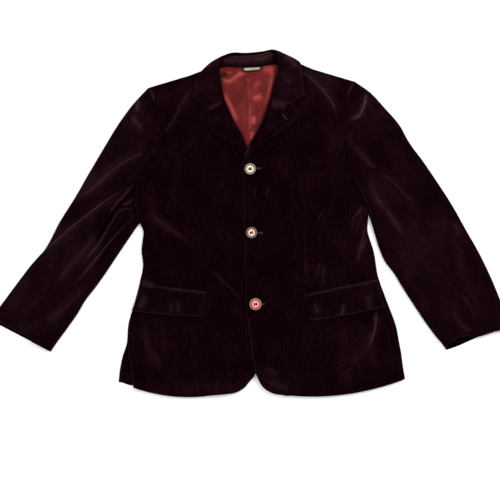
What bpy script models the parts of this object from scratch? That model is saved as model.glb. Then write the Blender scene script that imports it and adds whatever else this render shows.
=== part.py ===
"""Velvet blazer laid flat on its back, face up, with its sleeves spread.

The jacket lies on the plane z = 0: +Y runs from the hem to the collar and +X to the wearer's left.
Tables and sizes are in millimetres and are turned into metres where a mesh is made.
"""
from collections import namedtuple

import bmesh
import bpy
import numpy as np
from mathutils import Vector
from mathutils.bvhtree import BVHTree

MM = 0.001

# Walls of the pieces: velvet with its interlining is thicker than the satin and the label.
BODY_WALL = 2.6
SLEEVE_WALL = 2.4
COLLAR_WALL = 2.4
FLAP_WALL = 2.2
JET_WALL = 1.8
LINING_WALL = 1.0
LABEL_WALL = 0.8
SEAM_GAP = 0.4
SEAM_END_GAP = 1.6
LAY_GAP = 0.8
LAPEL_GAP = 1.5

# Heights of the upper cloth above the surface the jacket lies on.
RIM = 3.8
CAP_HEIGHT = 10.6
SHOULDER_HEIGHT = 11.2
CHEST_HEIGHT = 8.8
UNDERLAP_HEIGHT = 7.2
OVERLAP_HEIGHT = 11.4
LAP_BAND = 45.0
LAP_SLOPE = 65.0
EDGE_ROLL = 11.0
ROLL_STOPS = (0.0, 0.01, 0.12, 0.32, 0.62)
SEAM_SLOPE = 75.0

# Where one side of an armhole lies over the other: lift, drop and the depth tucked under.
OVER_LIFT = 2.4
UNDER_DROP = 3.4
TUCK = 10.0
# Shares of the armhole, from the shoulder to the armpit, where the lap and the tuck come in and go out.
LAP_SPAN = (0.40, 0.52, 0.90, 0.97)
TUCK_SPAN = (0.53, 0.63, 0.77, 0.86)
# Shares of the armhole where the front is thickest, padded at the shoulder, and where its chest begins.
PAD_SPAN = (0.25, 0.75)
CHEST_SPAN = (0.25, 0.40)
# Shares of the sleeve's length that its cap, its seam and its cuff take up.
CAP_REACH = 0.45
SEAM_REACH = 0.10
FOLD_REACH = 0.07
CUFF_REACH = 0.15
FOLD_TAPER = 0.25

# Number of strips the cloth is drawn with.
ARM_STRIPS = 15
FRONT_STRIPS = 11
SLEEVE_ROWS = 30
UNDER_ROWS = 6
BACK_STRIPS = 8

ROLL_RADIUS = 3.2
ROLL_ANGLES = (0.0, 35.0, 65.0)
LAPEL_CREST = 2.6
LAPEL_STRIPS = 5
LAPEL_FULL_WIDTH = 30.0
# Shares of the lapel and of the collar in which their rows turn into the line of the gorge.
LAPEL_TURN = 0.45
LEAF_TURN = 0.14
STAND_BOW = 1.2

BUTTON_THICK = 4.6
BUTTON_SEGMENTS = 20
BUTTON_HOLE_RADIUS = 1.2
BUTTON_HOLE_SPREAD = 2.7
BUTTON_SEAT = 0.35

FrontRow = namedtuple("FrontRow", "inner_x inner_y outer_x outer_y bow height inner_height")
Place = namedtuple("Place", "x y")
SleeveRow = namedtuple("SleeveRow", "outer_x outer_y inner_x inner_y height")
BackRow = namedtuple("BackRow", "right_x right_y left_x left_y")
LapelRow = namedtuple("LapelRow", "roll_x roll_y edge_x edge_y")
CollarRow = namedtuple("CollarRow", "fold_x fold_y fold_z bulge_x bulge_y bulge_z edge_x edge_y edge_z")
StandRow = namedtuple("StandRow", "base_x base_y base_z top_x top_y top_z")
Fold = namedtuple("Fold", "x0 y0 x1 y1 bow width rise")
Flap = namedtuple("Flap", "side top_in top_out bottom_out bottom_in corner")
Button = namedtuple("Button", "name x y diameter color")

# Wearer's left front, hem to armpit: it laps over and is cut away at the hem.
FRONT_LEFT = [
    FrontRow(91, -388, 345, -348, -16, 6.6, 6.6),
    FrontRow(46, -382, 344, -339, -14, 6.9, 6.9),
    FrontRow(26, -369, 342, -325, -11, 7.2, 7.8),
    FrontRow(16, -353, 340, -309, -8, 7.2, 9.6),
    FrontRow(9, -336, 338, -294, -5, 7.4, 10.9),
    FrontRow(3, -303, 333, -267, -2, 7.5, 11.3),
    FrontRow(-2, -251, 326, -231, 0, 7.6, OVERLAP_HEIGHT),
    FrontRow(-6, -183, 308, -183, 0, 7.7, OVERLAP_HEIGHT),
    FrontRow(-8, -116, 285, -118, 0, 7.8, OVERLAP_HEIGHT),
    FrontRow(-10, -60, 276, -64, 0, 8.0, OVERLAP_HEIGHT),
    FrontRow(-12, -10, 261, -12, 0, 8.4, OVERLAP_HEIGHT),
    FrontRow(-14, 30, 264, 21, 0, CHEST_HEIGHT, OVERLAP_HEIGHT),
]
# Wearer's right front, hem to armpit: it laps under, and its side edge is free at the vent.
FRONT_RIGHT = [
    FrontRow(-82, -386, -267, -370, -12, 6.6, 6.6),
    FrontRow(-33, -380, -268, -359, -10, 6.9, 6.8),
    FrontRow(-16, -370, -270, -345, -7, 7.2, 7.0),
    FrontRow(-6, -358, -272, -330, -5, 7.2, 7.0),
    FrontRow(6, -344, -274, -314, -3, 7.3, UNDERLAP_HEIGHT),
    FrontRow(15, -321, -277, -296, -1, 7.4, UNDERLAP_HEIGHT),
    FrontRow(21, -273, -280, -267, 0, 7.5, UNDERLAP_HEIGHT),
    FrontRow(24, -213, -271, -213, 0, 7.6, UNDERLAP_HEIGHT),
    FrontRow(24, -150, -254, -150, 0, 7.8, UNDERLAP_HEIGHT),
    FrontRow(24, -100, -244, -100, 0, 8.0, UNDERLAP_HEIGHT),
    FrontRow(24, -60, -248, -60, 0, 8.2, UNDERLAP_HEIGHT),
    FrontRow(24, -19, -244, -19, 0, 8.5, UNDERLAP_HEIGHT),
    FrontRow(21, 26, -252, 1, 0, CHEST_HEIGHT, UNDERLAP_HEIGHT),
]
# Inner edges above the armpit: the closing edge, then just inside the roll of the lapel to the neck.
ROLL_LEFT = [
    Place(-14, 30), Place(-16, 87), Place(-16, 132), Place(-14, 150), Place(-2, 170), Place(9, 191),
    Place(24, 216), Place(37, 242), Place(46, 264), Place(54, 292), Place(61, 325), Place(71, 368),
]
ROLL_RIGHT = [
    Place(21, 26), Place(19, 87), Place(10, 129), Place(-3, 150), Place(-17, 168), Place(-28, 190),
    Place(-44, 222), Place(-60, 255), Place(-69, 285), Place(-75, 314), Place(-80, 352),
]
# Armhole seams from the shoulder point to the armpit.
ARMHOLE_LEFT = [
    Place(233, 320), Place(218, 285), Place(212, 249), Place(209, 197),
    Place(215, 147), Place(228, 107), Place(253, 51), Place(264, 21),
]
ARMHOLE_RIGHT = [
    Place(-233, 306), Place(-222, 278), Place(-218, 222), Place(-219, 181),
    Place(-231, 138), Place(-255, 91), Place(-264, 53), Place(-252, 1),
]
# Sleeves from the armhole to the cuff.
SLEEVE_LEFT = [
    SleeveRow(233, 320, 264, 21, CAP_HEIGHT),
    SleeveRow(267, 296, 270, 3, 10.2),
    SleeveRow(298, 260, 278, -24, 9.6),
    SleeveRow(330, 222, 287, -53, 9.0),
    SleeveRow(350, 183, 300, -84, 8.6),
    SleeveRow(384, 138, 321, -112, 8.4),
    SleeveRow(417, 90, 341, -145, 8.2),
    SleeveRow(451, 37, 361, -176, 8.0),
    SleeveRow(480, -15, 380, -205, 7.8),
    SleeveRow(510, -66, 398, -231, 7.6),
    SleeveRow(539, -125, 416, -255, 7.6),
    SleeveRow(564, -179, 429, -270, 7.8),
    SleeveRow(591, -235, 440, -285, 8.2),
]
SLEEVE_RIGHT = [
    SleeveRow(-233, 306, -252, 1, CAP_HEIGHT),
    SleeveRow(-267, 269, -263, -14, 10.2),
    SleeveRow(-300, 224, -280, -39, 9.6),
    SleeveRow(-333, 170, -303, -73, 9.0),
    SleeveRow(-366, 114, -327, -109, 8.6),
    SleeveRow(-397, 60, -351, -143, 8.4),
    SleeveRow(-431, 6, -375, -174, 8.2),
    SleeveRow(-467, -60, -396, -209, 8.0),
    SleeveRow(-489, -84, -411, -230, 7.8),
    SleeveRow(-528, -134, -430, -256, 7.6),
    SleeveRow(-562, -180, -443, -274, 7.4),
    SleeveRow(-591, -217, -453, -289, 7.4),
]
# How far the upper cloth of a cuff is drawn back from the straight cuff line.
CUFF_ARCH_LEFT = 9.0
CUFF_ARCH_RIGHT = 0.0

# Back of the body, hem to armpit: its right edge flares out behind the vent.
BACK = [
    BackRow(-300, -358, 345, -348),
    BackRow(-297, -330, 342, -325),
    BackRow(-291, -300, 339, -300),
    BackRow(-282, -273, 334, -273),
    BackRow(-278, -228, 325, -228),
    BackRow(-264, -179, 307, -179),
    BackRow(-251, -127, 288, -127),
    BackRow(-245, -96, 279, -96),
    BackRow(-248, -60, 274, -60),
    BackRow(-244, -19, 262, -19),
    BackRow(-252, 1, 264, 21),
]
BACK_INSET = 0.8
BACK_HEM_RISE = 17.0
BACK_HEM_ROWS = 3.0
# Top of the back: two shoulders with the back neck between them.
BACK_TOP = [
    Place(-233, 306), Place(-156, 329), Place(-80, 352), Place(-44, 349), Place(-8, 348),
    Place(33, 354), Place(71, 368), Place(152, 344), Place(233, 320),
]

# Lapels from the break to the gorge, and the gorge with the notch and the lapel point.
LAPEL_LEFT = [
    LapelRow(-17, 148, -10, 144),
    LapelRow(-8, 170, 10, 168),
    LapelRow(3, 190, 35, 189),
    LapelRow(18, 214, 64, 207),
    LapelRow(30, 240, 89, 226),
    LapelRow(44, 282, 107, 246),
]
LAPEL_RIGHT = [
    LapelRow(-12, 170, -20, 157),
    LapelRow(-19, 188, -42, 169),
    LapelRow(-30, 212, -64, 183),
    LapelRow(-42, 232, -87, 201),
    LapelRow(-52, 251, -109, 220),
    LapelRow(-65, 280, -124, 240),
]
GORGE_LEFT = [Place(44, 282), Place(66, 275), Place(91, 268)]
GORGE_RIGHT = [Place(-65, 280), Place(-87, 271), Place(-107, 261)]
LAPEL_NOTCH_SHARE = 0.72
LEAF_NOTCH_SHARE = 0.62

# Fall of the collar, from the wearer's right leaf round the back of the neck to the left leaf.
COLLAR = [
    CollarRow(-65, 280, 16.8, -98, 281, 16.0, -130, 282, 9.0),
    CollarRow(-71, 314, 18.6, -99, 312, 18.4, -127, 307, 10.0),
    CollarRow(-72, 341, 20.2, -104, 348, 20.6, -119, 336, 10.0),
    CollarRow(-71, 361, 20.8, -100, 372, 18.6, -105, 351, 4.5),
    CollarRow(-61, 376, 20.8, -84, 392, 14.0, -86, 362, 1.6),
    CollarRow(-44, 382, 20.0, -50, 397, 10.0, -53, 364, 0.6),
    CollarRow(-10, 383, 19.5, -10, 397, 8.0, -10, 364, 0.6),
    CollarRow(24, 386, 19.5, 25, 399, 8.0, 24, 368, 0.6),
    CollarRow(44, 388, 20.0, 52, 401, 11.0, 50, 374, 0.8),
    CollarRow(57, 381, 20.8, 84, 393, 15.0, 84, 376, 1.8),
    CollarRow(60, 361, 20.8, 94, 378, 19.4, 109, 364, 6.5),
    CollarRow(57, 336, 19.8, 92, 346, 20.0, 112, 342, 12.5),
    CollarRow(51, 309, 18.2, 84, 312, 18.0, 116, 309, 10.0),
    CollarRow(44, 282, 16.8, 82, 284, 16.0, 119, 285, 9.0),
]
COLLAR_ROWS = 33
COLLAR_STRIPS = 5
COLLAR_EASE = 0.2
# Stand of the collar, from its right end round the back neck to its left end.
STAND = [
    StandRow(-75, 333, 8.4, -74, 352, 14.0),
    StandRow(-71, 344, 7.6, -69, 367, 16.2),
    StandRow(-58, 347, 7.4, -56, 377, 16.2),
    StandRow(-34, 348, 7.4, -33, 381, 15.6),
    StandRow(-8, 348, 7.4, -8, 381.5, 15.2),
    StandRow(20, 350, 7.4, 20, 384, 15.2),
    StandRow(42, 354, 7.4, 41, 386, 15.8),
    StandRow(56, 353, 7.6, 57, 377, 16.2),
    StandRow(60, 336, 8.4, 61, 356, 14.0),
]
STAND_ROWS = 19

# Largest folds: where each ridge or trough (negative rise) begins and ends, its bow, width and rise.
BODY_FOLDS = [
    Fold(-236, 24, -130, -56, 0, 15, 4.0),
    Fold(-104, -94, -22, -172, 4, 15, 2.6),
    Fold(-136, 298, -197, 195, 4, 16, 2.4),
    Fold(118, 330, 202, 238, 0, 16, 2.4),
    Fold(256, -6, 238, -78, 0, 13, 2.6),
    Fold(283, -226, 246, -312, -8, 15, 4.0),
]
SLEEVE_FOLDS_RIGHT = [
    Fold(-240, 158, -394, 42, 9, 15, 5.0),
    Fold(-300, 74, -472, -66, 4, 14, 5.5),
    Fold(-262, 92, -326, 0, 0, 13, -4.0),
    Fold(-270, 48, -390, -106, 0, 14, 4.5),
    Fold(-262, 12, -408, -152, 4, 13, 4.5),
    Fold(-258, 274, -250, 212, -6, 13, 3.0),
]
SLEEVE_FOLDS_LEFT = [
    Fold(258, 292, 224, 228, 8, 13, 3.0),
    Fold(303, 112, 366, 40, 3, 14, 4.5),
    Fold(286, 58, 348, -38, 2, 15, 4.5),
    Fold(424, -48, 503, -172, 4, 17, 3.0),
    Fold(404, -130, 452, -210, 0, 14, -2.0),
]
LINING_FOLDS = [
    Fold(-8, 310, -6, 160, -3, 14, 2.2),
    Fold(-60, 320, -30, 190, 6, 15, 1.6),
    Fold(30, 310, 12, 180, 0, 15, 1.8),
]

# Pocket flaps, given by their corners: in is towards the closing edge, out towards the side.
FLAPS = [
    Flap("right", Place(-106, -161), Place(-247, -146), Place(-259, -199), Place(-108, -209), 11.0),
    Flap("left", Place(118, -167), Place(277, -135), Place(291, -187), Place(131, -219), 9.0),
]
JET_HEIGHT = 7.0
FLAP_SAG = 2.0
FLAP_CORNER_STOPS = (0.0, 0.25, 0.6)
FLAP_STRIPS = 10
FLAP_ROWS = 5
JET_STRIPS = 11

BUTTONS = [
    Button("button_top", -3, 123, 25.4, (0.80, 0.72, 0.55)),
    Button("button_middle", 0, -20, 25.2, (0.80, 0.62, 0.47)),
    Button("button_bottom", 9, -181, 26.6, (0.72, 0.32, 0.27)),
]
# Turned profile of a button: share of the radius, share of the thickness.
BUTTON_PROFILE = [
    (0.00, 0.62), (0.62, 0.66), (0.70, 0.56), (0.77, 0.94), (0.88, 1.00),
    (0.97, 0.82), (1.00, 0.50), (0.93, 0.12), (0.72, 0.00), (0.00, 0.00),
]

LABEL_WIDTH = 42.0
LABEL_DEPTH = 11.0
LABEL_CENTRE = Place(1, 343)
LABEL_TURN = 0.05
LABEL_TAPER = 0.16

LINING_LOW = 2.9
LINING_TOP_INSET = 3.0
LINING_TOP_Y = 350.0
LINING_BOTTOM_Y = 128.0
LINING_MARGIN = 16.0
LINING_TOP_SHY = 6.0
LINING_ROWS = 11
LINING_STRIPS = 10
LINING_TOP_REACH = 0.3
LINING_CALM = 0.4

for item in list(bpy.data.objects):
    bpy.data.objects.remove(item, do_unlink=True)

garment = bpy.data.collections.new("velvet_blazer")
cutters = bpy.data.collections.new("cutters")
for collection in (garment, cutters):
    bpy.context.scene.collection.children.link(collection)


def finish(name, color, roughness):
    """A Principled material of one colour."""
    material = bpy.data.materials.new(name)
    material.use_nodes = True
    shader = material.node_tree.nodes["Principled BSDF"]
    shader.inputs["Base Color"].default_value = (*color, 1.0)
    shader.inputs["Roughness"].default_value = roughness
    shader.inputs["Metallic"].default_value = 0.0
    return material


VELVET = finish("velvet", (0.012, 0.003, 0.006), 0.9)
SATIN = finish("lining_satin", (0.22, 0.027, 0.030), 0.35)
WOVEN = finish("label_woven", (0.01, 0.01, 0.012), 0.8)


def ease(value):
    """A smooth step from 0 to 1."""
    value = np.clip(value, 0.0, 1.0)
    return value * value * (3.0 - 2.0 * value)


def between(share, span):
    """1 inside a span given by four stops, eased in over the first two and out over the last two."""
    rise = ease((share - span[0]) / (span[1] - span[0]))
    return rise * ease((span[3] - share) / (span[3] - span[2]))


def before(share, span):
    """1 before a span given by two stops, eased to 0 at its end."""
    return ease((span[1] - share) / (span[1] - span[0]))


def round_over(value):
    """A quarter of a round edge: 0 at the edge, 1 from the end of the roll inwards."""
    inward = 1.0 - np.clip(value, 0.0, 1.0)
    return np.sqrt(1.0 - inward * inward)


class Path:
    """A smooth curve through the rows of a table, read by row number or by share of its length."""

    def __init__(self, rows, reach=2):
        self.rows = np.array(rows, dtype=float)
        steps = np.linalg.norm(np.diff(self.rows[:, :reach], axis=0), axis=1)
        self.knots = np.concatenate(([0.0], np.cumsum(steps))) / steps.sum()
        self.slopes = np.gradient(self.rows, self.knots, axis=0)

    def at_share(self, share):
        share = np.clip(np.atleast_1d(share), 0.0, 1.0)
        first = np.clip(np.searchsorted(self.knots, share, side="right") - 1, 0, len(self.knots) - 2)
        width = (self.knots[first + 1] - self.knots[first])[:, None]
        part = (share - self.knots[first])[:, None] / width
        start = (1 + 2 * part) * (1 - part) ** 2 * self.rows[first]
        leave = part * (1 - part) ** 2 * width * self.slopes[first]
        end = part ** 2 * (3 - 2 * part) * self.rows[first + 1]
        arrive = part ** 2 * (part - 1) * width * self.slopes[first + 1]
        return start + leave + end + arrive

    def at_row(self, number):
        return self.at_share(np.interp(number, np.arange(len(self.knots)), self.knots))


def fold_rise(folds, x, y):
    """Height that the listed folds add at the places x, y."""
    total = np.zeros_like(x)
    for fold in folds:
        run = np.array((fold.x1 - fold.x0, fold.y1 - fold.y0), dtype=float)
        length = np.linalg.norm(run)
        run /= length
        along = ((x - fold.x0) * run[0] + (y - fold.y0) * run[1]) / length
        across = (y - fold.y0) * run[0] - (x - fold.x0) * run[1]
        inside = np.clip(along, 0.0, 1.0)
        across = across - fold.bow * 4.0 * inside * (1.0 - inside)
        taper = ease(along / FOLD_TAPER + FOLD_TAPER) * ease((1.0 - along) / FOLD_TAPER + FOLD_TAPER)
        total += fold.rise * taper * np.exp(-((across / fold.width) ** 2))
    return total


def add_object(name, mesh, material):
    mesh.materials.append(material)
    piece = bpy.data.objects.new(name, mesh)
    garment.objects.link(piece)
    return piece


def cloth_panel(name, points, wall, material):
    """A panel of cloth: a grid drawn onto rows of points, given its wall on the under side."""
    across_rows = points[1:, :-1] - points[:-1, :-1]
    along_rows = points[:-1, 1:] - points[:-1, :-1]
    if np.cross(along_rows, across_rows)[..., 2].mean() < 0:
        points = points[:, ::-1]
    rows, columns = points.shape[:2]
    cloth = bmesh.new()
    bmesh.ops.create_grid(cloth, x_segments=columns - 1, y_segments=rows - 1, size=1.0)
    for vertex in cloth.verts:
        row = round((vertex.co.y + 1.0) / 2.0 * (rows - 1))
        column = round((vertex.co.x + 1.0) / 2.0 * (columns - 1))
        vertex.co = Vector(points[row, column] * MM)
    mesh = bpy.data.meshes.new(name)
    cloth.to_mesh(mesh)
    cloth.free()
    piece = add_object(name, mesh, material)
    thick = piece.modifiers.new("wall", "SOLIDIFY")
    thick.thickness = wall * MM
    thick.offset = -1.0
    return piece


class Surface:
    """The upper face of a finely drawn panel, to lay other pieces on."""

    def __init__(self, points):
        rows, columns = points.shape[:2]
        corners = np.arange(rows * columns).reshape(rows, columns)
        quads = np.stack((corners[:-1, :-1], corners[:-1, 1:], corners[1:, 1:], corners[1:, :-1]), axis=-1)
        self.tree = BVHTree.FromPolygons(points.reshape(-1, 3).tolist(), quads.reshape(-1, 4).tolist())

    def lift(self, x, y, distance, fallback):
        """The place over x, y moved out from the face by a distance."""
        place, normal, _, _ = self.tree.ray_cast(Vector((x, y, 200.0)), Vector((0.0, 0.0, -1.0)))
        if place is None:
            return np.array((x, y, fallback + distance))
        if normal.z < 0:
            normal = -normal
        return np.array(place + normal * distance)


SIDES = {
    "left": (FRONT_LEFT, ROLL_LEFT, ARMHOLE_LEFT, SLEEVE_LEFT, SLEEVE_FOLDS_LEFT, CUFF_ARCH_LEFT),
    "right": (FRONT_RIGHT, ROLL_RIGHT, ARMHOLE_RIGHT, SLEEVE_RIGHT, SLEEVE_FOLDS_RIGHT, CUFF_ARCH_RIGHT),
}
OUTWARD = {"left": 1.0, "right": -1.0}
CAP_ROLL = 0.09
EDGE_STRIP = 0.0008


def even_spread(strips):
    """Shares from 0 to 1, closer together at both ends, with a narrow strip along each edge."""
    shares = (1.0 - np.cos(np.pi * np.arange(strips + 1) / strips)) / 2.0
    return np.concatenate(([0.0, EDGE_STRIP], shares[1:-1], [1.0 - EDGE_STRIP, 1.0]))


def seam_height(share):
    """Height of the cloth along an armhole, from the shoulder to the armpit."""
    return RIM + (CAP_HEIGHT - RIM) * round_over(np.minimum(share, 1.0 - share) / CAP_ROLL)


def lap_share(share):
    """How much one side of the armhole lies over the other, in its lower half."""
    return between(share, LAP_SPAN)


def tuck_depth(share):
    """How far the lower cloth reaches under the upper one."""
    return TUCK * between(share, TUCK_SPAN)


def armhole(side, share, over):
    """Points of an armhole edge: the piece that lies over, or the one that is tucked under."""
    line = Path(SIDES[side][2]).at_share(share)
    lap = lap_share(share)
    height = seam_height(share) + np.where(over, OVER_LIFT, -UNDER_DROP) * lap
    if not over:
        line[:, 0] += tuck_depth(share)
    return np.column_stack((line, height))


def front_points(side, strips, skirt_rows, arm_shares):
    """Points of a front, in rows from the hem to the shoulder, from the side to the inner edge."""
    skirt = Path(SIDES[side][0], reach=4).at_row(skirt_rows)
    roll = Path(SIDES[side][1]).at_share(1.0 - arm_shares)
    hole = armhole(side, arm_shares, over=side == "right")
    shoulder = round_over(arm_shares / CAP_ROLL)
    upper = before(arm_shares, PAD_SPAN)
    height = RIM + (CHEST_HEIGHT + (SHOULDER_HEIGHT - CHEST_HEIGHT) * upper - RIM) * shoulder
    if side == "left":
        inner_height = OVERLAP_HEIGHT
    else:
        inner_height = UNDERLAP_HEIGHT + (CHEST_HEIGHT - UNDERLAP_HEIGHT) * before(arm_shares, CHEST_SPAN)
    inner_height = RIM + (inner_height - RIM) * shoulder
    inner = np.vstack((skirt[:, 0:2], roll))
    outer = np.vstack((skirt[:, 2:4], hole[:, :2]))
    outer[len(skirt):, 0] -= OUTWARD[side] * SEAM_GAP / 2
    bow = np.concatenate((skirt[:, 4], np.zeros(len(roll))))
    edge = np.concatenate((np.full(len(skirt), RIM), hole[:, 2]))
    crown = np.concatenate((skirt[:, 5], height))
    lap = np.concatenate((skirt[:, 6], inner_height))
    length = np.linalg.norm(inner - outer, axis=1)
    near = np.array(ROLL_STOPS) * EDGE_ROLL
    spread = np.linspace(0.0, 1.0, strips + 1)
    from_edge = np.column_stack((np.tile(near, (len(length), 1)),
                                 EDGE_ROLL + (length[:, None] - EDGE_ROLL) * spread[None, :]))
    share = from_edge / length[:, None]
    flat = outer[:, None, :] + (inner - outer)[:, None, :] * share[..., None]
    flat[..., 1] += bow[:, None] * 4.0 * share * (1.0 - share)
    lapped = 1.0 - ease((length[:, None] - from_edge - LAP_BAND) / LAP_SLOPE)
    body = crown[:, None] + (lap - crown)[:, None] * lapped
    rolled = round_over(from_edge / EDGE_ROLL)
    top = np.concatenate((np.ones(len(skirt)), shoulder))
    folds = fold_rise(BODY_FOLDS, flat[..., 0], flat[..., 1]) * rolled * top[:, None]
    slope = 1.0 - ease(from_edge / SEAM_SLOPE)
    fall = np.where(edge[:, None] > body, slope, 1.0 - rolled)
    height = body + (edge[:, None] - body) * fall + folds
    return np.dstack((flat, height))


def arm_rows(strips):
    return even_spread(strips)[::-1][1:]


def skirt_numbers(side, step):
    last = len(SIDES[side][0]) - 1
    corner = np.arange(0.0, 5.0, min(1.0, step * 2))
    return np.concatenate((corner, np.arange(5.0, last + step / 2, step)))


def front_face(side):
    """The upper face of a front, drawn finely."""
    return Surface(front_points(side, 80, skirt_numbers(side, 0.1), arm_rows(70)))


def sleeve_points(side, rows, strips, upper):
    """Points of a sleeve, in rows from the armhole to the cuff, from its outer to its inner edge."""
    table = Path(SIDES[side][3], reach=4)
    down = np.linspace(0.0, 1.0, rows + 1)
    edges = table.at_share(down)
    share = even_spread(strips)
    outer = edges[:, None, 0:2]
    inner = edges[:, None, 2:4]
    flat = outer + (inner - outer) * share[None, :, None]
    if upper:
        hole = armhole(side, share, over=side == "left")
    else:
        hole = Path(SIDES[side][2]).at_share(share)
    cap = hole[:, :2] - flat[0]
    fade = (1.0 - ease(down / CAP_REACH))[:, None, None]
    flat = flat + cap[None] * fade
    seam_gap = SEAM_GAP / 2 + SEAM_END_GAP * (1.0 - round_over(share / CAP_ROLL))
    flat[..., 0] += OUTWARD[side] * seam_gap[None, :] * fade[..., 0]
    if not upper:
        return np.dstack((flat, np.full(flat.shape[:2], SLEEVE_WALL)))
    arch = SIDES[side][5] * np.sin(np.pi * share) * share
    along = edges[-1] - edges[-2]
    along = along[0:2] / np.linalg.norm(along[0:2])
    flat = flat - along * (arch[None, :] * ease((down - 1.0) / CUFF_REACH + 1.0)[:, None])[..., None]
    rolled = round_over(np.minimum(share, 1.0 - share) / CAP_ROLL)
    height = RIM + (edges[:, None, 4] - RIM) * rolled[None, :]
    sign = OVER_LIFT if side == "left" else -UNDER_DROP
    seam = 1.0 - ease(down / SEAM_REACH)
    height = height + sign * lap_share(share)[None, :] * seam[:, None]
    folds = fold_rise(SIDES[side][4], flat[..., 0], flat[..., 1])
    height = height + folds * rolled[None, :] * ease(down / FOLD_REACH)[:, None]
    return np.dstack((flat, height))


def back_points(strips, skirt_rows, arm_shares):
    """Points of the flat back, in rows from the hem to the shoulders and the back neck."""
    skirt = Path(BACK, reach=4).at_row(skirt_rows)
    right = np.vstack((skirt[:, 0:2], Path(ARMHOLE_RIGHT).at_share(arm_shares)))
    left = np.vstack((skirt[:, 2:4], Path(ARMHOLE_LEFT).at_share(arm_shares)))
    right[:, 0] += BACK_INSET
    left[:, 0] -= BACK_INSET
    share = np.linspace(0.0, 1.0, strips + 1)
    flat = right[:, None, :] + (left - right)[:, None, :] * share[None, :, None]
    top_line = Path(BACK_TOP).at_share(share)
    rise = (top_line - flat[-1])[:, 1] - BACK_INSET
    lift = np.concatenate((np.zeros(len(skirt)), (1.0 - arm_shares) ** 2))
    flat[..., 1] += rise[None, :] * lift[:, None]
    hem = np.concatenate((np.clip(1.0 - skirt_rows / BACK_HEM_ROWS, 0.0, 1.0), np.zeros(len(arm_shares))))
    flat[..., 1] += BACK_HEM_RISE * hem[:, None] * np.sin(np.pi * share)[None, :]
    return np.dstack((flat, np.full(flat.shape[:2], BODY_WALL)))


def roll_section(fold, towards, strips):
    """Share across and drop below the crest of a rolled edge followed by evenly spaced strips."""
    angles = np.radians(ROLL_ANGLES)
    near = ROLL_RADIUS * (1.0 - np.cos(angles)) / np.linalg.norm(towards[:2] - fold[:2])
    share = np.concatenate((near, near[-1] + (1.0 - near[-1]) * np.linspace(0.0, 1.0, strips + 1)[1:]))
    drop = np.concatenate((ROLL_RADIUS * (1.0 - np.sin(angles)), np.zeros(strips)))
    return share, drop


def gorge_line(side, point, notch_share, share):
    """The end of a lapel or a collar leaf: along the gorge to the notch, then to its point."""
    gorge = np.array(GORGE_LEFT if side == "left" else GORGE_RIGHT, dtype=float)
    shares = np.concatenate((np.linspace(0.0, notch_share, len(gorge)), [1.0]))
    stops = np.vstack((gorge, point))
    return np.column_stack([np.interp(share, shares, stops[:, axis]) for axis in (0, 1)])


def lapel(side, face):
    """A lapel: turned back from the roll and laid on the front."""
    table = LAPEL_LEFT if side == "left" else LAPEL_RIGHT
    break_height = OVERLAP_HEIGHT if side == "left" else CHEST_HEIGHT
    rows = Path(table, reach=4).at_row(np.arange(0.0, len(table) - 0.75, 0.5))
    points = []
    for number, row in enumerate(rows):
        roll = row[0:2]
        edge = row[2:4]
        share, drop = roll_section(roll, edge, LAPEL_STRIPS)
        flat = roll + (edge - roll) * share[:, None]
        bend = ease((number / (len(rows) - 1) - 1.0) / LAPEL_TURN + 1.0)
        end_line = gorge_line(side, table[-1][2:4], LAPEL_NOTCH_SHARE, share)
        straight = np.array(table[-1][0:2]) + (np.array(table[-1][2:4]) - table[-1][0:2]) * share[:, None]
        flat = flat + (end_line - straight) * bend
        flat[:, 1] -= SEAM_GAP * bend
        fullness = min(1.0, np.linalg.norm(edge - roll) / LAPEL_FULL_WIDTH)
        crest = LAPEL_CREST * fullness * (1.0 - ease(share))
        lifts = LAPEL_GAP + COLLAR_WALL + crest
        base = [face.lift(x, y, lift, break_height) for (x, y), lift in zip(flat, lifts)]
        base = np.array(base)
        base[:, 2] -= drop * fullness
        points.append(base)
    return cloth_panel("lapel_" + side, np.array(points), COLLAR_WALL, VELVET)


def collar(faces):
    """The fall of the collar, lofted from the right leaf round the neck to the left leaf."""
    table = Path(COLLAR, reach=9)
    rows = table.at_row(np.linspace(0.0, len(COLLAR) - 1.0, COLLAR_ROWS))
    points = []
    for number, row in enumerate(rows):
        fold = row[0:3]
        bulge = row[3:6]
        edge = row[6:9]
        share, drop = roll_section(fold, bulge, COLLAR_STRIPS)
        part = share[:, None]
        section = fold * (1 - part) ** 2 + bulge * 2 * part * (1 - part) + edge * part ** 2
        place = number / (len(rows) - 1)
        side = "right" if place < 0.5 else "left"
        bend = 1.0 - ease(min(place, 1.0 - place) / LEAF_TURN)
        end_row = COLLAR[0] if side == "right" else COLLAR[-1]
        end_line = gorge_line(side, np.array(end_row[6:8]), LEAF_NOTCH_SHARE, share)
        end_fold, end_bulge, end_edge = (np.array(end_row[start:start + 2]) for start in (0, 3, 6))
        plain = end_fold * (1 - part) ** 2 + end_bulge * 2 * part * (1 - part) + end_edge * part ** 2
        section[:, :2] += (end_line - plain) * bend
        section[:, 1] += SEAM_GAP * bend
        for index, (x, y, z) in enumerate(section):
            rest = faces[side].lift(x, y, LAY_GAP + COLLAR_WALL, 0.0)[2]
            if rest > LAY_GAP + COLLAR_WALL:
                section[index, 2] = max(z, rest + COLLAR_EASE)
        section[:, 2] -= drop
        points.append(section)
    return cloth_panel("collar", np.array(points), COLLAR_WALL, VELVET)


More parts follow.
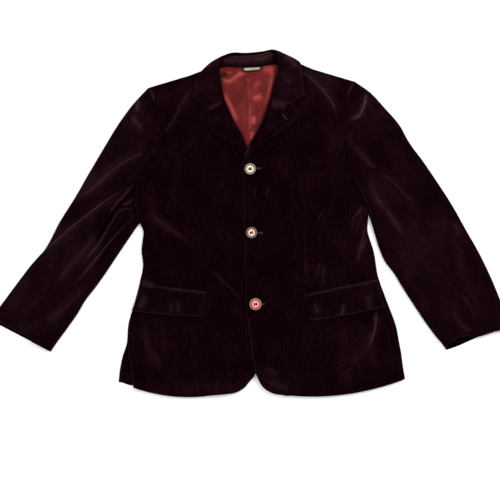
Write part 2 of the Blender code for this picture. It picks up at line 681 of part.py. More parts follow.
def collar_stand():
    """The stand: it leans back from the neck seam up to the fold of the collar."""
    rows = Path(STAND, reach=6).at_row(np.linspace(0.0, len(STAND) - 1.0, STAND_ROWS))
    share = np.linspace(0.0, 1.0, 4)[None, :, None]
    points = rows[:, None, 0:3] + (rows[:, None, 3:6] - rows[:, None, 0:3]) * share
    points[..., 2] += STAND_BOW * np.sin(np.pi * share[..., 0])
    return cloth_panel("collar_stand", points, COLLAR_WALL, VELVET)


def lining_points(rows, strips):
    """The lining on the inside of the back, where the open neck shows it."""
    down = np.linspace(0.0, 1.0, rows + 1)
    level = LINING_TOP_Y + (LINING_BOTTOM_Y - LINING_TOP_Y) * down
    margin = (LINING_MARGIN + LINING_TOP_SHY) * ease(down / LINING_TOP_REACH) - LINING_TOP_SHY
    right = Path([(p.y, p.x) for p in ROLL_RIGHT[::-1]])
    left = Path([(p.y, p.x) for p in ROLL_LEFT[::-1]])
    reach = np.linspace(0.0, 1.0, 200)
    right_line = right.at_share(reach)
    left_line = left.at_share(reach)
    right_x = np.interp(-level, -right_line[:, 0], right_line[:, 1]) - margin
    left_x = np.interp(-level, -left_line[:, 0], left_line[:, 1]) + margin
    share = np.linspace(0.0, 1.0, strips + 1)
    x = right_x[:, None] + (left_x - right_x)[:, None] * share[None, :]
    neck = Path(BACK_TOP).at_share(np.linspace(0.0, 1.0, 200))
    top = np.minimum(np.interp(x[0], neck[:, 0], neck[:, 1]) - LINING_TOP_INSET, LINING_TOP_Y)
    y = level[:, None] + (top - level[0])[None, :] * (1.0 - ease(down / LINING_TOP_REACH))[:, None]
    calm = LINING_CALM / 2.0
    free = ease(share / LINING_CALM - calm) * ease((1.0 - share) / LINING_CALM - calm)
    free = free[None, :] * ease((1.0 - down) / LINING_TOP_REACH)[:, None]
    z = LINING_LOW + LINING_WALL + fold_rise(LINING_FOLDS, x, y) * free
    return np.dstack((x, y, z))


def neck_label(face):
    """A small woven label, laid on the lining below the stand."""
    across = np.linspace(-0.5, 0.5, 5)
    points = []
    for depth in (0.5, 0.0, -0.5):
        narrow = 1.0 - LABEL_TAPER * (0.5 - depth)
        row = []
        for step in across:
            x = LABEL_CENTRE.x + step * LABEL_WIDTH * narrow
            y = LABEL_CENTRE.y + depth * LABEL_DEPTH + step * LABEL_WIDTH * LABEL_TURN
            row.append(face.lift(x, y, LABEL_WALL + LAY_GAP, LINING_LOW))
        points.append(row)
    return cloth_panel("neck_label", np.array(points), LABEL_WALL, WOVEN)


def pocket(flap, face):
    """A pocket flap hanging from its welt, both laid on the front."""
    corners = [np.array(place, dtype=float) for place in flap[1:5]]
    top_in, top_out, bottom_out, bottom_in = corners
    length = np.linalg.norm(top_out - top_in)
    across = np.concatenate((FLAP_CORNER_STOPS, np.linspace(1.0, length / flap.corner, FLAP_STRIPS)))
    across = across * flap.corner / length
    points = []
    for down in np.linspace(0.0, 1.0, FLAP_ROWS):
        row = []
        for share in across:
            top = top_in + (top_out - top_in) * share
            bottom = bottom_in + (bottom_out - bottom_in) * share
            bottom = bottom - np.array((0.0, FLAP_SAG * np.sin(np.pi * share)))
            rounding = 1.0 - round_over(share * length / flap.corner)
            drop = np.linalg.norm(bottom - top)
            place = top + (bottom - top) * down * (1.0 - rounding * flap.corner / drop)
            row.append(face.lift(place[0], place[1], LAY_GAP + FLAP_WALL, CHEST_HEIGHT))
        points.append(row)
    cloth_panel("pocket_flap_" + flap.side, np.array(points), FLAP_WALL, VELVET)
    upward = np.array((0.0, 1.0))
    jet = []
    for rise in (SEAM_GAP + JET_HEIGHT, SEAM_GAP):
        row = []
        for share in np.linspace(0.0, 1.0, JET_STRIPS):
            place = top_in + (top_out - top_in) * share + upward * rise
            row.append(face.lift(place[0], place[1], LAY_GAP + JET_WALL, CHEST_HEIGHT))
        jet.append(row)
    cloth_panel("pocket_jet_" + flap.side, np.array(jet), JET_WALL, VELVET)


def button(row, face):
    """A turned button with a raised rim and four sewing holes."""
    radius = row.diameter / 2.0
    turn = np.linspace(0.0, 2.0 * np.pi, 12, endpoint=False)
    rim = [face.lift(row.x + radius * np.cos(a), row.y + radius * np.sin(a), 0.0, 0.0)[2] for a in turn]
    seat = max(rim + [face.lift(row.x, row.y, 0.0, 0.0)[2]]) + BUTTON_SEAT
    profile = bmesh.new()
    stops = [profile.verts.new((share * radius * MM, 0.0, rise * BUTTON_THICK * MM))
             for share, rise in BUTTON_PROFILE]
    for first, second in zip(stops, stops[1:]):
        profile.edges.new((first, second))
    mesh = bpy.data.meshes.new(row.name)
    profile.to_mesh(mesh)
    profile.free()
    piece = add_object(row.name, mesh, finish(row.name, row.color, 0.3))
    piece.location = Vector((row.x, row.y, seat)) * MM
    screw = piece.modifiers.new("turn", "SCREW")
    screw.steps = BUTTON_SEGMENTS
    screw.render_steps = BUTTON_SEGMENTS
    screw.use_merge_vertices = True
    screw.merge_threshold = 0.00001
    for x in (-1, 1):
        for y in (-1, 1):
            hole = bmesh.new()
            bmesh.ops.create_cone(hole, cap_ends=True, segments=8, depth=3.0 * BUTTON_THICK * MM,
                                  radius1=BUTTON_HOLE_RADIUS * MM, radius2=BUTTON_HOLE_RADIUS * MM)
            drill_mesh = bpy.data.meshes.new(row.name + "_hole")
            hole.to_mesh(drill_mesh)
            hole.free()
            drill = bpy.data.objects.new(row.name + "_hole", drill_mesh)
            cutters.objects.link(drill)
            offset = Vector((x, y, 0.0)) * BUTTON_HOLE_SPREAD / 2.0 ** 0.5
            drill.location = (Vector((row.x, row.y, seat)) + offset) * MM
            drill.hide_render = True
            drill.display_type = "WIRE"
            cut = piece.modifiers.new("hole", "BOOLEAN")
            cut.operation = "DIFFERENCE"
            cut.object = drill


cloth_panel("back", back_points(BACK_STRIPS, np.arange(0.0, len(BACK) - 0.5), arm_rows(ARM_STRIPS)),
            BODY_WALL, VELVET)
front_faces = {}
for side in ("right", "left"):
    skirt_rows = skirt_numbers(side, 0.5)
    cloth_panel("front_" + side, front_points(side, FRONT_STRIPS, skirt_rows, arm_rows(ARM_STRIPS)),
                BODY_WALL, VELVET)
    cloth_panel("sleeve_" + side + "_under", sleeve_points(side, UNDER_ROWS, ARM_STRIPS, upper=False),
                SLEEVE_WALL, VELVET)
    cloth_panel("sleeve_" + side + "_upper", sleeve_points(side, SLEEVE_ROWS, ARM_STRIPS, upper=True),
                SLEEVE_WALL, VELVET)
    front_faces[side] = front_face(side)
    lapel(side, front_faces[side])
collar(front_faces)
collar_stand()
cloth_panel("lining", lining_points(LINING_ROWS, LINING_STRIPS), LINING_WALL, SATIN)
neck_label(Surface(lining_points(60, 60)))
for flap in FLAPS:
    pocket(flap, front_faces[flap.side])
for row in BUTTONS:
    button(row, front_faces["left"])
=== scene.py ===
"""Looks of a velvet blazer that lies flat on its back, face up, with its sleeves spread.

Lengths in the tables are millimetres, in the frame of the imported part: +Y runs from the hem to the
collar, +X to the wearer's left, and the surface under the jacket is z = 0.
"""
from collections import namedtuple

import bmesh
import bpy
import numpy as np
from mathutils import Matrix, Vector
from mathutils.bvhtree import BVHTree

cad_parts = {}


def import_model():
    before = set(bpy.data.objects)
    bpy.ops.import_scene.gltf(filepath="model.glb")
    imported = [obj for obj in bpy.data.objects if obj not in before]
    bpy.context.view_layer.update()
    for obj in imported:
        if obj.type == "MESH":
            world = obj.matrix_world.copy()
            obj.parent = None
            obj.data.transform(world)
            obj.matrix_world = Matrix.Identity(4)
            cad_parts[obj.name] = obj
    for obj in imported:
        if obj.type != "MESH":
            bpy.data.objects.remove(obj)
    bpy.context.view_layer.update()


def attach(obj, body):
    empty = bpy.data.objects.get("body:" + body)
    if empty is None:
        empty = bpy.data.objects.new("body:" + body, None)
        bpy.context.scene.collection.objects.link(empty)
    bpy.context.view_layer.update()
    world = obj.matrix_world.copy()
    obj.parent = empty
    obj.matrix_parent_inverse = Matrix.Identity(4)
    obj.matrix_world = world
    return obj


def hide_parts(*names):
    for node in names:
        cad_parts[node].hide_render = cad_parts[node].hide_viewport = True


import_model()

# Surface, light and camera
# A white studio table under large soft lamps. The camera looks straight down on the jacket.
MM = 0.001
VIEW_CENTRE = (-3.4, -59.6)
VIEW_WIDTH = 1125.0
CLOTH_LEVEL = 8.0
LENS = 70.0
SENSOR = 36.0
TABLE_SIZE = 12.0
TABLE_WHITE = (0.93, 0.93, 0.93, 1.0)
STUDIO_WHITE = (1.0, 1.0, 1.0, 1.0)
STUDIO_STRENGTH = 0.62
Lamp = namedtuple("Lamp", "name place size power")
LAMPS = [
    Lamp("lamp_key", (1.5, 1.5, 1.9), 1.1, 58.0),
    Lamp("lamp_fill", (-1.9, 0.6, 1.9), 2.0, 26.0),
    Lamp("lamp_front", (0.2, -2.2, 2.0), 2.0, 18.0),
]

scene = bpy.context.scene
scene.view_settings.view_transform = "Standard"
scene.view_settings.look = "None"

world = bpy.data.worlds.new("studio")
world.use_nodes = True
world.node_tree.nodes["Background"].inputs["Color"].default_value = STUDIO_WHITE
world.node_tree.nodes["Background"].inputs["Strength"].default_value = STUDIO_STRENGTH
scene.world = world

for name, place, size, power in LAMPS:
    lamp = bpy.data.lights.new(name, "AREA")
    lamp.size = size
    lamp.energy = power
    stand = bpy.data.objects.new(name, lamp)
    stand.location = place
    stand.rotation_euler = (-Vector(place)).to_track_quat("-Z", "Y").to_euler()
    scene.collection.objects.link(stand)

table_mesh = bpy.data.meshes.new("table")
half = TABLE_SIZE / 2.0
table_corners = [(-half, -half, 0), (half, -half, 0), (half, half, 0), (-half, half, 0)]
table_mesh.from_pydata(table_corners, [], [(0, 1, 2, 3)])
table = bpy.data.objects.new("table", table_mesh)
scene.collection.objects.link(table)
table_paint = bpy.data.materials.new("table_white")
table_paint.use_nodes = True
table_shader = table_paint.node_tree.nodes["Principled BSDF"]
table_shader.inputs["Base Color"].default_value = TABLE_WHITE
table_shader.inputs["Roughness"].default_value = 0.9
table_mesh.materials.append(table_paint)

camera_data = bpy.data.cameras.new("camera")
camera_data.lens = LENS
camera_data.sensor_width = SENSOR
camera = bpy.data.objects.new("camera", camera_data)
height = VIEW_WIDTH * LENS / SENSOR + CLOTH_LEVEL
camera.location = Vector((*VIEW_CENTRE, height)) * MM
scene.collection.objects.link(camera)
scene.camera = camera

# Back of the body
# One wide panel of dark plum cotton velvet with its interlining, which lies flat on the table.
# Its right edge flares out behind the open side vent.
BackRow = namedtuple("BackRow", "right_x right_y left_x left_y")
Place = namedtuple("Place", "x y")
BODY_WALL = 2.6
BACK = [
    BackRow(-300, -358, 346, -349.5),
    BackRow(-297, -330, 342, -325),
    BackRow(-291, -300, 339, -300),
    BackRow(-282, -273, 334, -273),
    BackRow(-278, -228, 325, -228),
    BackRow(-264, -179, 307, -179),
    BackRow(-251, -127, 288, -127),
    BackRow(-245, -96, 279, -96),
    BackRow(-248, -60, 274, -60),
    BackRow(-244, -19, 262, -19),
    BackRow(-252, 1, 264, 21),
]
BACK_INSET = 0.1
BACK_ARM_INSET = 1.2
ARM_SPAN = (0.0, 0.05, 0.88, 0.96)
BACK_HEM_RISE = 17.0
BACK_HEM_ROWS = 3.0
BACK_VENT_DROP = 10.5
BACK_STEP = 6.5
# Painted highlight along the back's edges, and painted shadow beside the vent edge of the right front.
BACK_RIM = 0.2
BACK_RIM_WIDTH = 2.0
VENT_TOP = Place(-280, -267)
VENT_FOOT = Place(-267, -370)
VENT_START_Y = -262.0
VENT_SHADE = 0.9
VENT_SHADE_WIDTH = 5.0
VENT_SHADE_FADE = 20.0
BACK_TOP = [
    Place(-233, 306), Place(-156, 329), Place(-80, 352), Place(-44, 349), Place(-8, 348),
    Place(33, 354), Place(71, 368), Place(152, 344), Place(233, 320),
]
ARMHOLE_LEFT = [
    Place(233, 320), Place(218, 285), Place(212, 249), Place(209, 197),
    Place(215, 147), Place(228, 107), Place(253, 51), Place(264, 21),
]
ARMHOLE_RIGHT = [
    Place(-233, 306), Place(-222, 278), Place(-218, 222), Place(-219, 181),
    Place(-231, 138), Place(-255, 91), Place(-264, 53), Place(-252, 1),
]
RIM_STOPS = np.array((0.0, 0.12, 0.4, 0.8, 1.3, 2.0))


def ease(value):
    """A smooth step from 0 to 1."""
    value = np.clip(value, 0.0, 1.0)
    return value * value * (3.0 - 2.0 * value)


def between(share, span):
    """1 inside a span given by four stops, eased in over the first two and out over the last two."""
    rise = ease((share - span[0]) / (span[1] - span[0]))
    return rise * ease((span[3] - share) / (span[3] - span[2]))


class Path:
    """A smooth curve through the rows of a table, read by row number or by share of its length."""

    def __init__(self, rows, reach=2):
        self.rows = np.array(rows, dtype=float)
        steps = np.linalg.norm(np.diff(self.rows[:, :reach], axis=0), axis=1)
        self.length = steps.sum()
        self.knots = np.concatenate(([0.0], np.cumsum(steps))) / self.length
        self.slopes = np.gradient(self.rows, self.knots, axis=0)

    def at_share(self, share):
        share = np.clip(np.atleast_1d(share), 0.0, 1.0)
        first = np.clip(np.searchsorted(self.knots, share, side="right") - 1, 0, len(self.knots) - 2)
        width = (self.knots[first + 1] - self.knots[first])[:, None]
        part = (share - self.knots[first])[:, None] / width
        start = (1 + 2 * part) * (1 - part) ** 2 * self.rows[first]
        leave = part * (1 - part) ** 2 * width * self.slopes[first]
        end = part ** 2 * (3 - 2 * part) * self.rows[first + 1]
        arrive = part ** 2 * (part - 1) * width * self.slopes[first + 1]
        return start + leave + end + arrive

    def at_row(self, number):
        return self.at_share(np.interp(number, np.arange(len(self.knots)), self.knots))


def edged_spread(length, step):
    """Distances from 0 to a length, evenly spaced, with close stops at both ends for a rounded edge."""
    middle = np.linspace(RIM_STOPS[-1], length - RIM_STOPS[-1], max(3, int(length / step)))
    return np.concatenate((RIM_STOPS[:-1], middle, length - RIM_STOPS[-2::-1]))


def edge_distance(points):
    """How far each point of a panel lies from the nearest edge, along the cloth."""
    down = np.linalg.norm(np.diff(points, axis=0), axis=2)
    across = np.linalg.norm(np.diff(points, axis=1), axis=2)
    from_top = np.vstack((np.zeros((1, points.shape[1])), np.cumsum(down, axis=0)))
    from_left = np.hstack((np.zeros((points.shape[0], 1)), np.cumsum(across, axis=1)))
    ends = (from_top, from_top[-1:] - from_top, from_left, from_left[:, -1:] - from_left)
    return np.minimum.reduce(ends)


def face_normals(points):
    """Upward unit normals of a panel's points."""
    normals = np.cross(np.gradient(points, axis=1), np.gradient(points, axis=0))
    normals /= np.maximum(np.linalg.norm(normals, axis=2, keepdims=True), 1e-9)
    return normals


def cloth_mesh(name, points, wall, grain, light):
    """A watertight shell of cloth with rounded edges.

    points are rows of places on the upper face, grain is where the threads run, for the material, and
    light is a value per point for the material: painted highlights above 0 and painted shade below 0
    on velvet and satin, and the pale band on the label.
    """
    across = points[:-1, 1:] - points[:-1, :-1]
    down = points[1:, :-1] - points[:-1, :-1]
    if np.cross(across, down)[..., 2].mean() < 0:
        points = points[:, ::-1]
        grain = grain[:, ::-1]
        light = light[:, ::-1]
    rows, columns = points.shape[:2]
    radius = wall / 2.0
    inward = radius - np.minimum(edge_distance(points), radius)
    inset = radius - np.sqrt(radius * radius - inward * inward)
    normals = face_normals(points)
    upper = points - normals * inset[..., None]
    lower = points - normals * (wall - inset)[..., None]
    top = np.arange(rows * columns).reshape(rows, columns)
    bottom = top.copy()
    inner = rows * columns + np.arange((rows - 2) * (columns - 2)).reshape(rows - 2, columns - 2)
    bottom[1:-1, 1:-1] = inner
    faces_up = np.stack((top[:-1, :-1], top[:-1, 1:], top[1:, 1:], top[1:, :-1]), axis=-1).reshape(-1, 4)
    faces_down = np.stack((bottom[:-1, :-1], bottom[1:, :-1], bottom[1:, 1:], bottom[:-1, 1:]), axis=-1)
    faces = np.vstack((faces_up, faces_down.reshape(-1, 4)))
    places = np.vstack((upper.reshape(-1, 3), lower[1:-1, 1:-1].reshape(-1, 3))) * MM
    mesh = bpy.data.meshes.new(name)
    mesh.from_pydata(places.tolist(), [], faces.tolist())
    mesh.polygons.foreach_set("use_smooth", np.ones(len(faces), dtype=bool))
    threads = np.vstack((grain.reshape(-1, 2), grain[1:-1, 1:-1].reshape(-1, 2))) * MM
    corner = np.empty(len(mesh.loops), dtype=np.int32)
    mesh.loops.foreach_get("vertex_index", corner)
    mesh.uv_layers.new(name="grain").data.foreach_set("uv", threads[corner].astype(np.float32).ravel())
    # Painted light and shade per point, for the material.
    painted_light_values = np.concatenate((light.ravel(), light[1:-1, 1:-1].ravel()))
    mesh.attributes.new("light", "FLOAT", "POINT").data.foreach_set("value", painted_light_values.astype(np.float32))
    mesh.update()
    return mesh


def sew(name, points, wall, material, grain=None, light=None):
    """Adds a panel of cloth, in place of the solid of the same name."""
    if grain is None:
        grain = points[..., :2]
    if light is None:
        light = np.zeros(points.shape[:2])
    mesh = cloth_mesh(name, points, wall, grain, light)
    mesh.materials.append(material)
    piece = bpy.data.objects.new(name + "_cloth", mesh)
    scene.collection.objects.link(piece)
    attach(piece, "root")
    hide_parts(name)
    return piece


def add_node(tree, kind, **settings):
    """A shader node with its properties set."""
    node = tree.nodes.new(kind)
    for key, value in settings.items():
        setattr(node, key, value)
    return node


def grain_group():
    """Streaks that run along the threads of a cloth, as a mask from 0 to 1."""
    group = bpy.data.node_groups.new("grain_streaks", "ShaderNodeTree")
    group.interface.new_socket("Grain", in_out="INPUT", socket_type="NodeSocketVector")
    for label, value in (("Across", 300.0), ("Along", 30.0), ("Low", 0.35), ("High", 0.65)):
        group.interface.new_socket(label, in_out="INPUT", socket_type="NodeSocketFloat").default_value = value
    group.interface.new_socket("Mask", in_out="OUTPUT", socket_type="NodeSocketFloat")
    entry = group.nodes.new("NodeGroupInput")
    leave = group.nodes.new("NodeGroupOutput")
    pitch = group.nodes.new("ShaderNodeCombineXYZ")
    pitch.inputs["Z"].default_value = 1.0
    stretch = add_node(group, "ShaderNodeVectorMath", operation="MULTIPLY")
    noise = add_node(group, "ShaderNodeTexNoise", noise_dimensions="2D")
    noise.inputs["Scale"].default_value = 1.0
    noise.inputs["Detail"].default_value = 2.0
    spread = group.nodes.new("ShaderNodeMapRange")
    group.links.new(entry.outputs["Across"], pitch.inputs["X"])
    group.links.new(entry.outputs["Along"], pitch.inputs["Y"])
    group.links.new(entry.outputs["Grain"], stretch.inputs[0])
    group.links.new(pitch.outputs["Vector"], stretch.inputs[1])
    group.links.new(stretch.outputs["Vector"], noise.inputs["Vector"])
    group.links.new(noise.outputs["Fac"], spread.inputs["Value"])
    group.links.new(entry.outputs["Low"], spread.inputs["From Min"])
    group.links.new(entry.outputs["High"], spread.inputs["From Max"])
    group.links.new(spread.outputs["Result"], leave.inputs["Mask"])
    return group


GRAIN_STREAKS = grain_group()


def streaks(tree, grain, streak):
    """Places the streak group in a material with the values of a streak and gives its mask."""
    node = add_node(tree, "ShaderNodeGroup", node_tree=GRAIN_STREAKS)
    for label, value in zip(("Across", "Along", "Low", "High"), streak):
        node.inputs[label].default_value = value
    tree.links.new(grain, node.inputs["Grain"])
    return node.outputs["Mask"]


def weigh(tree, operation, first, second):
    """A Math node on two sockets or numbers."""
    node = add_node(tree, "ShaderNodeMath", operation=operation)
    for socket, value in zip(node.inputs, (first, second)):
        if isinstance(value, (int, float)):
            socket.default_value = value
        else:
            tree.links.new(value, socket)
    return node.outputs["Value"]


def blend_color(tree, share, first, second):
    """A colour mix of two sockets or colours."""
    node = add_node(tree, "ShaderNodeMix", data_type="RGBA")
    tree.links.new(share, node.inputs["Factor"])
    sockets = [socket for socket in node.inputs if socket.type == "RGBA"]
    for socket, value in zip(sockets, (first, second)):
        if isinstance(value, tuple):
            socket.default_value = (*value, 1.0)
        else:
            tree.links.new(value, socket)
    return [socket for socket in node.outputs if socket.type == "RGBA"][0]


# Velvet colours: the first is the darkest random tone and also the painted shade, the fourth the painted
# sheen highlight.
VELVET_DEEP_AND_SHADE = (0.0012, 0.0001, 0.0004)
VELVET_BODY = (0.0036, 0.0004, 0.0013)
VELVET_BRUSHED = (0.0120, 0.0035, 0.0061)
VELVET_PAINTED_SHEEN = (0.062, 0.025, 0.036)
VELVET_SHEEN = (1.0, 0.34, 0.50)
VELVET_TONE = 0.10
VELVET_ROUGHNESS = 0.85
VELVET_ROUGHER = 0.1
# How far the random tone breaks up the painted sheen highlight.
PAINTED_SHEEN_BREAKUP = 1.7
PAINTED_SHEEN_LEAST = 0.15
PILE_RIDGES = 0.8
Streak = namedtuple("Streak", "across along low high share", defaults=(1.0,))
VELVET_STREAKS = {
    "fine": Streak(310.0, 48.0, 0.30, 0.70, 0.17),
    "speck": Streak(380.0, 230.0, 0.28, 0.72, 0.34),
    "broad": Streak(56.0, 12.0, 0.32, 0.68, 0.08),
    "patch": Streak(21.0, 15.0, 0.32, 0.68, 0.15),
    "pile": Streak(1500.0, 1100.0, 0.25, 0.75, 0.06),
}


def velvet_finish(name, sheen_color):
    """Cut pile velvet, streaked at random; painted sheen where the light attribute is above 0, painted shade
    below 0.
    """
    material = bpy.data.materials.new(name)
    material.use_nodes = True
    tree = material.node_tree
    shader = tree.nodes["Principled BSDF"]
    grain = add_node(tree, "ShaderNodeUVMap", uv_map="grain").outputs["UV"]
    light = add_node(tree, "ShaderNodeAttribute", attribute_name="light").outputs["Fac"]
    masks = {kind: streaks(tree, grain, row) for kind, row in VELVET_STREAKS.items()}
    tone = VELVET_TONE
    for kind, row in VELVET_STREAKS.items():
        tone = weigh(tree, "ADD", weigh(tree, "MULTIPLY", masks[kind], row.share), tone)
    ramp = tree.nodes.new("ShaderNodeValToRGB")
    stops = ramp.color_ramp.elements
    stops[0].position = 0.12
    stops[0].color = (*VELVET_DEEP_AND_SHADE, 1.0)
    stops[1].position = 0.88
    stops[1].color = (*VELVET_BRUSHED, 1.0)
    middle = stops.new(0.50)
    middle.color = (*VELVET_BODY, 1.0)
    tree.links.new(tone, ramp.inputs["Fac"])
    # Painted sheen highlight where the light attribute is above 0, broken up by the random tone.
    sheen_breakup = weigh(tree, "ADD", weigh(tree, "MULTIPLY", tone, PAINTED_SHEEN_BREAKUP), PAINTED_SHEEN_LEAST)
    painted_sheen = add_node(tree, "ShaderNodeClamp")
    tree.links.new(weigh(tree, "MULTIPLY", light, sheen_breakup), painted_sheen.inputs["Value"])
    lit = blend_color(tree, painted_sheen.outputs["Result"], ramp.outputs["Color"], sheen_color)
    # Painted shade where the light attribute is below 0.
    painted_shade = add_node(tree, "ShaderNodeClamp")
    tree.links.new(weigh(tree, "MULTIPLY", light, -1.0), painted_shade.inputs["Value"])
    tree.links.new(blend_color(tree, painted_shade.outputs["Result"], lit, VELVET_DEEP_AND_SHADE), shader.inputs["Base Color"])
    rough = weigh(tree, "ADD", weigh(tree, "MULTIPLY", tone, VELVET_ROUGHER), VELVET_ROUGHNESS)
    tree.links.new(rough, shader.inputs["Roughness"])
    bump = tree.nodes.new("ShaderNodeBump")
    bump.inputs["Strength"].default_value = 0.35
    bump.inputs["Distance"].default_value = 0.0006
    ridges = weigh(tree, "ADD", masks["pile"], weigh(tree, "MULTIPLY", masks["fine"], PILE_RIDGES))
    tree.links.new(ridges, bump.inputs["Height"])
    tree.links.new(bump.outputs["Normal"], shader.inputs["Normal"])
    shader.inputs["Specular IOR Level"].default_value = 0.0
    shader.inputs["Sheen Weight"].default_value = 0.022
    shader.inputs["Sheen Roughness"].default_value = 0.30
    shader.inputs["Sheen Tint"].default_value = (*VELVET_SHEEN, 1.0)
    return material


VELVET = velvet_finish("velvet", VELVET_PAINTED_SHEEN)


def back_points():
    """Upper face of the back, in rows from the hem to the shoulders and the back neck."""
    skirt_rows = np.concatenate((np.linspace(0.0, 0.3, 7), np.linspace(0.4, len(BACK) - 1.0, 58)))
    arm_shares = np.concatenate((np.linspace(1.0, 0.02, 44)[1:], (0.012, 0.006, 0.002, 0.0)))
    skirt = Path(BACK, reach=4).at_row(skirt_rows)
    right = np.vstack((skirt[:, 0:2], Path(ARMHOLE_RIGHT).at_share(arm_shares)))
    left = np.vstack((skirt[:, 2:4], Path(ARMHOLE_LEFT).at_share(arm_shares)))
    inset = np.concatenate((np.zeros(len(skirt)), between(arm_shares, ARM_SPAN)))
    inset = BACK_INSET + (BACK_ARM_INSET - BACK_INSET) * inset
    right[:, 0] += inset
    left[:, 0] -= inset
    widest = np.linalg.norm(left - right, axis=1).max()
    share = edged_spread(widest, BACK_STEP) / widest
    flat = right[:, None, :] + (left - right)[:, None, :] * share[None, :, None]
    rise = (Path(BACK_TOP).at_share(share) - flat[-1])[:, 1] - BACK_INSET
    lift = np.concatenate((np.zeros(len(skirt)), (1.0 - arm_shares) ** 2))
    flat[..., 1] += rise[None, :] * lift[:, None]
    hem = np.concatenate((np.clip(1.0 - skirt_rows / BACK_HEM_ROWS, 0.0, 1.0), np.zeros(len(arm_shares))))
    vent = BACK_VENT_DROP * ease(share / 0.05) * ease((0.3 - share) / 0.2)
    flat[..., 1] += hem[:, None] * (BACK_HEM_RISE * np.sin(np.pi * share) - vent)[None, :]
    return np.dstack((flat, np.full(flat.shape[:2], BODY_WALL)))


def rim_light(points, reach, strength):
    """A painted highlight along the edges of a panel, fading inwards within the reach."""
    return strength * np.exp(-((edge_distance(points) / reach) ** 2))


back = back_points()
# Painted shadow on the back beside the vent edge of the right front, and painted edge highlights.
vent_edge = np.interp(back[..., 1], (VENT_FOOT.y, VENT_TOP.y), (VENT_FOOT.x, VENT_TOP.x))
vent_near = np.exp(-(((back[..., 0] - vent_edge) / VENT_SHADE_WIDTH) ** 2))
vent_shade = -VENT_SHADE * vent_near * ease((VENT_START_Y - back[..., 1]) / VENT_SHADE_FADE)
back_light = rim_light(back, BACK_RIM_WIDTH, BACK_RIM) + vent_shade
sew("back", back, BODY_WALL, VELVET, light=back_light)

# Fronts
# Two velvet fronts, the wearer's left lapped over the right and rounded off at the hem. They are sewn to
# the back at the sides and shoulders, taken in by a dart, and lie over the back in soft creases.
FrontRow = namedtuple("FrontRow", "inner_x inner_y outer_x outer_y bow height inner_height")
Fold = namedtuple("Fold", "x0 y0 x1 y1 bow width rise")
Patch = namedtuple("Patch", "x y wide high light")
Crease = namedtuple("Crease", "places left right rise line bloom reach")
RIM = 3.3
CAP_HEIGHT = 10.6
SHOULDER_HEIGHT = 11.2
CHEST_HEIGHT = 8.8
UNDERLAP_HEIGHT = 7.2
OVERLAP_HEIGHT = 11.4
LAP_BAND = 45.0
LAP_SLOPE = 65.0
EDGE_ROLL = 11.0
SEAM_SLOPE = 75.0
SEAM_GAP = 0.2
OVER_LIFT = 2.4
UNDER_DROP = 3.4
TUCK = 10.0
LAP_SPAN = (0.40, 0.52, 0.90, 0.97)
TUCK_SPAN = (0.53, 0.63, 0.77, 0.86)
PAD_SPAN = (0.25, 0.75)
CHEST_SPAN = (0.25, 0.40)
CAP_ROLL = 0.09
FOLD_TAPER = 0.25
CREST_WIDTH = 1.6
CREASE_STEPS = 60
CREASE_MARGIN = 3.0
CREASE_TAPER = 0.28
CREASE_BLUNT = 0.15
CREASE_END = 5.0
CREASE_LEAN = 0.8
CREASE_LEAN_REACH = 0.35
FRONT_STEP = 3.0
# Painted highlights along the free edges of the fronts, faint along their side seams, and on the vent edge.
FRONT_RIM = 0.30
FRONT_RIM_WIDTH = 1.8
SEAM_RIM = 0.04
SEAM_RIM_WIDTH = 2.0
VENT_RIM = 0.22
VENT_RIM_FADE = 15.0
SIDE_STOPS = (3.2, 4.8, 6.6, 8.6)
FREE_EDGE_STOP = 3.5
WELL_ABOVE = 200.0
STRAIGHT_DOWN = Vector((0.0, 0.0, -1.0))
FRONT_LEFT = [
    FrontRow(91, -388, 346.5, -350.5, -15, 6.6, 6.6),
    FrontRow(46, -382, 345, -341, -13.5, 6.9, 6.9),
    FrontRow(26, -369, 342, -325, -11, 7.2, 7.8),
    FrontRow(16, -353, 340, -309, -8, 7.2, 9.6),
    FrontRow(9, -336, 338, -294, -5, 7.4, 10.9),
    FrontRow(3, -303, 333, -267, -2, 7.5, 11.3),
    FrontRow(-4, -251, 326, -231, 0, 7.6, OVERLAP_HEIGHT),
    FrontRow(-12, -183, 308, -183, 0, 7.7, OVERLAP_HEIGHT),
    FrontRow(-13.5, -116, 285, -118, 0, 7.8, OVERLAP_HEIGHT),
    FrontRow(-15, -60, 276, -64, 0, 8.0, OVERLAP_HEIGHT),
    FrontRow(-17, -10, 261, -12, 0, 8.4, OVERLAP_HEIGHT),
    FrontRow(-18, 30, 264, 21, 0, CHEST_HEIGHT, OVERLAP_HEIGHT),
]
FRONT_RIGHT = [
    FrontRow(-82, -386, -267, -370, -12, 6.6, 6.6),
    FrontRow(-33, -380, -268, -359, -10, 6.9, 6.8),
    FrontRow(-16, -370, -270, -345, -7, 7.2, 7.0),
    FrontRow(-6, -358, -272, -330, -5, 7.2, 7.0),
    FrontRow(6, -344, -274, -314, -3, 7.3, UNDERLAP_HEIGHT),
    FrontRow(15, -321, -277, -296, -1, 7.4, UNDERLAP_HEIGHT),
    FrontRow(21, -273, -280, -267, 0, 7.5, UNDERLAP_HEIGHT),
    FrontRow(24, -213, -271, -213, 0, 7.6, UNDERLAP_HEIGHT),
    FrontRow(24, -150, -254, -150, 0, 7.8, UNDERLAP_HEIGHT),
    FrontRow(24, -100, -244, -100, 0, 8.0, UNDERLAP_HEIGHT),
    FrontRow(24, -60, -248, -60, 0, 8.2, UNDERLAP_HEIGHT),
    FrontRow(24, -19, -244, -19, 0, 8.5, UNDERLAP_HEIGHT),
    FrontRow(21, 26, -252, 1, 0, CHEST_HEIGHT, UNDERLAP_HEIGHT),
]
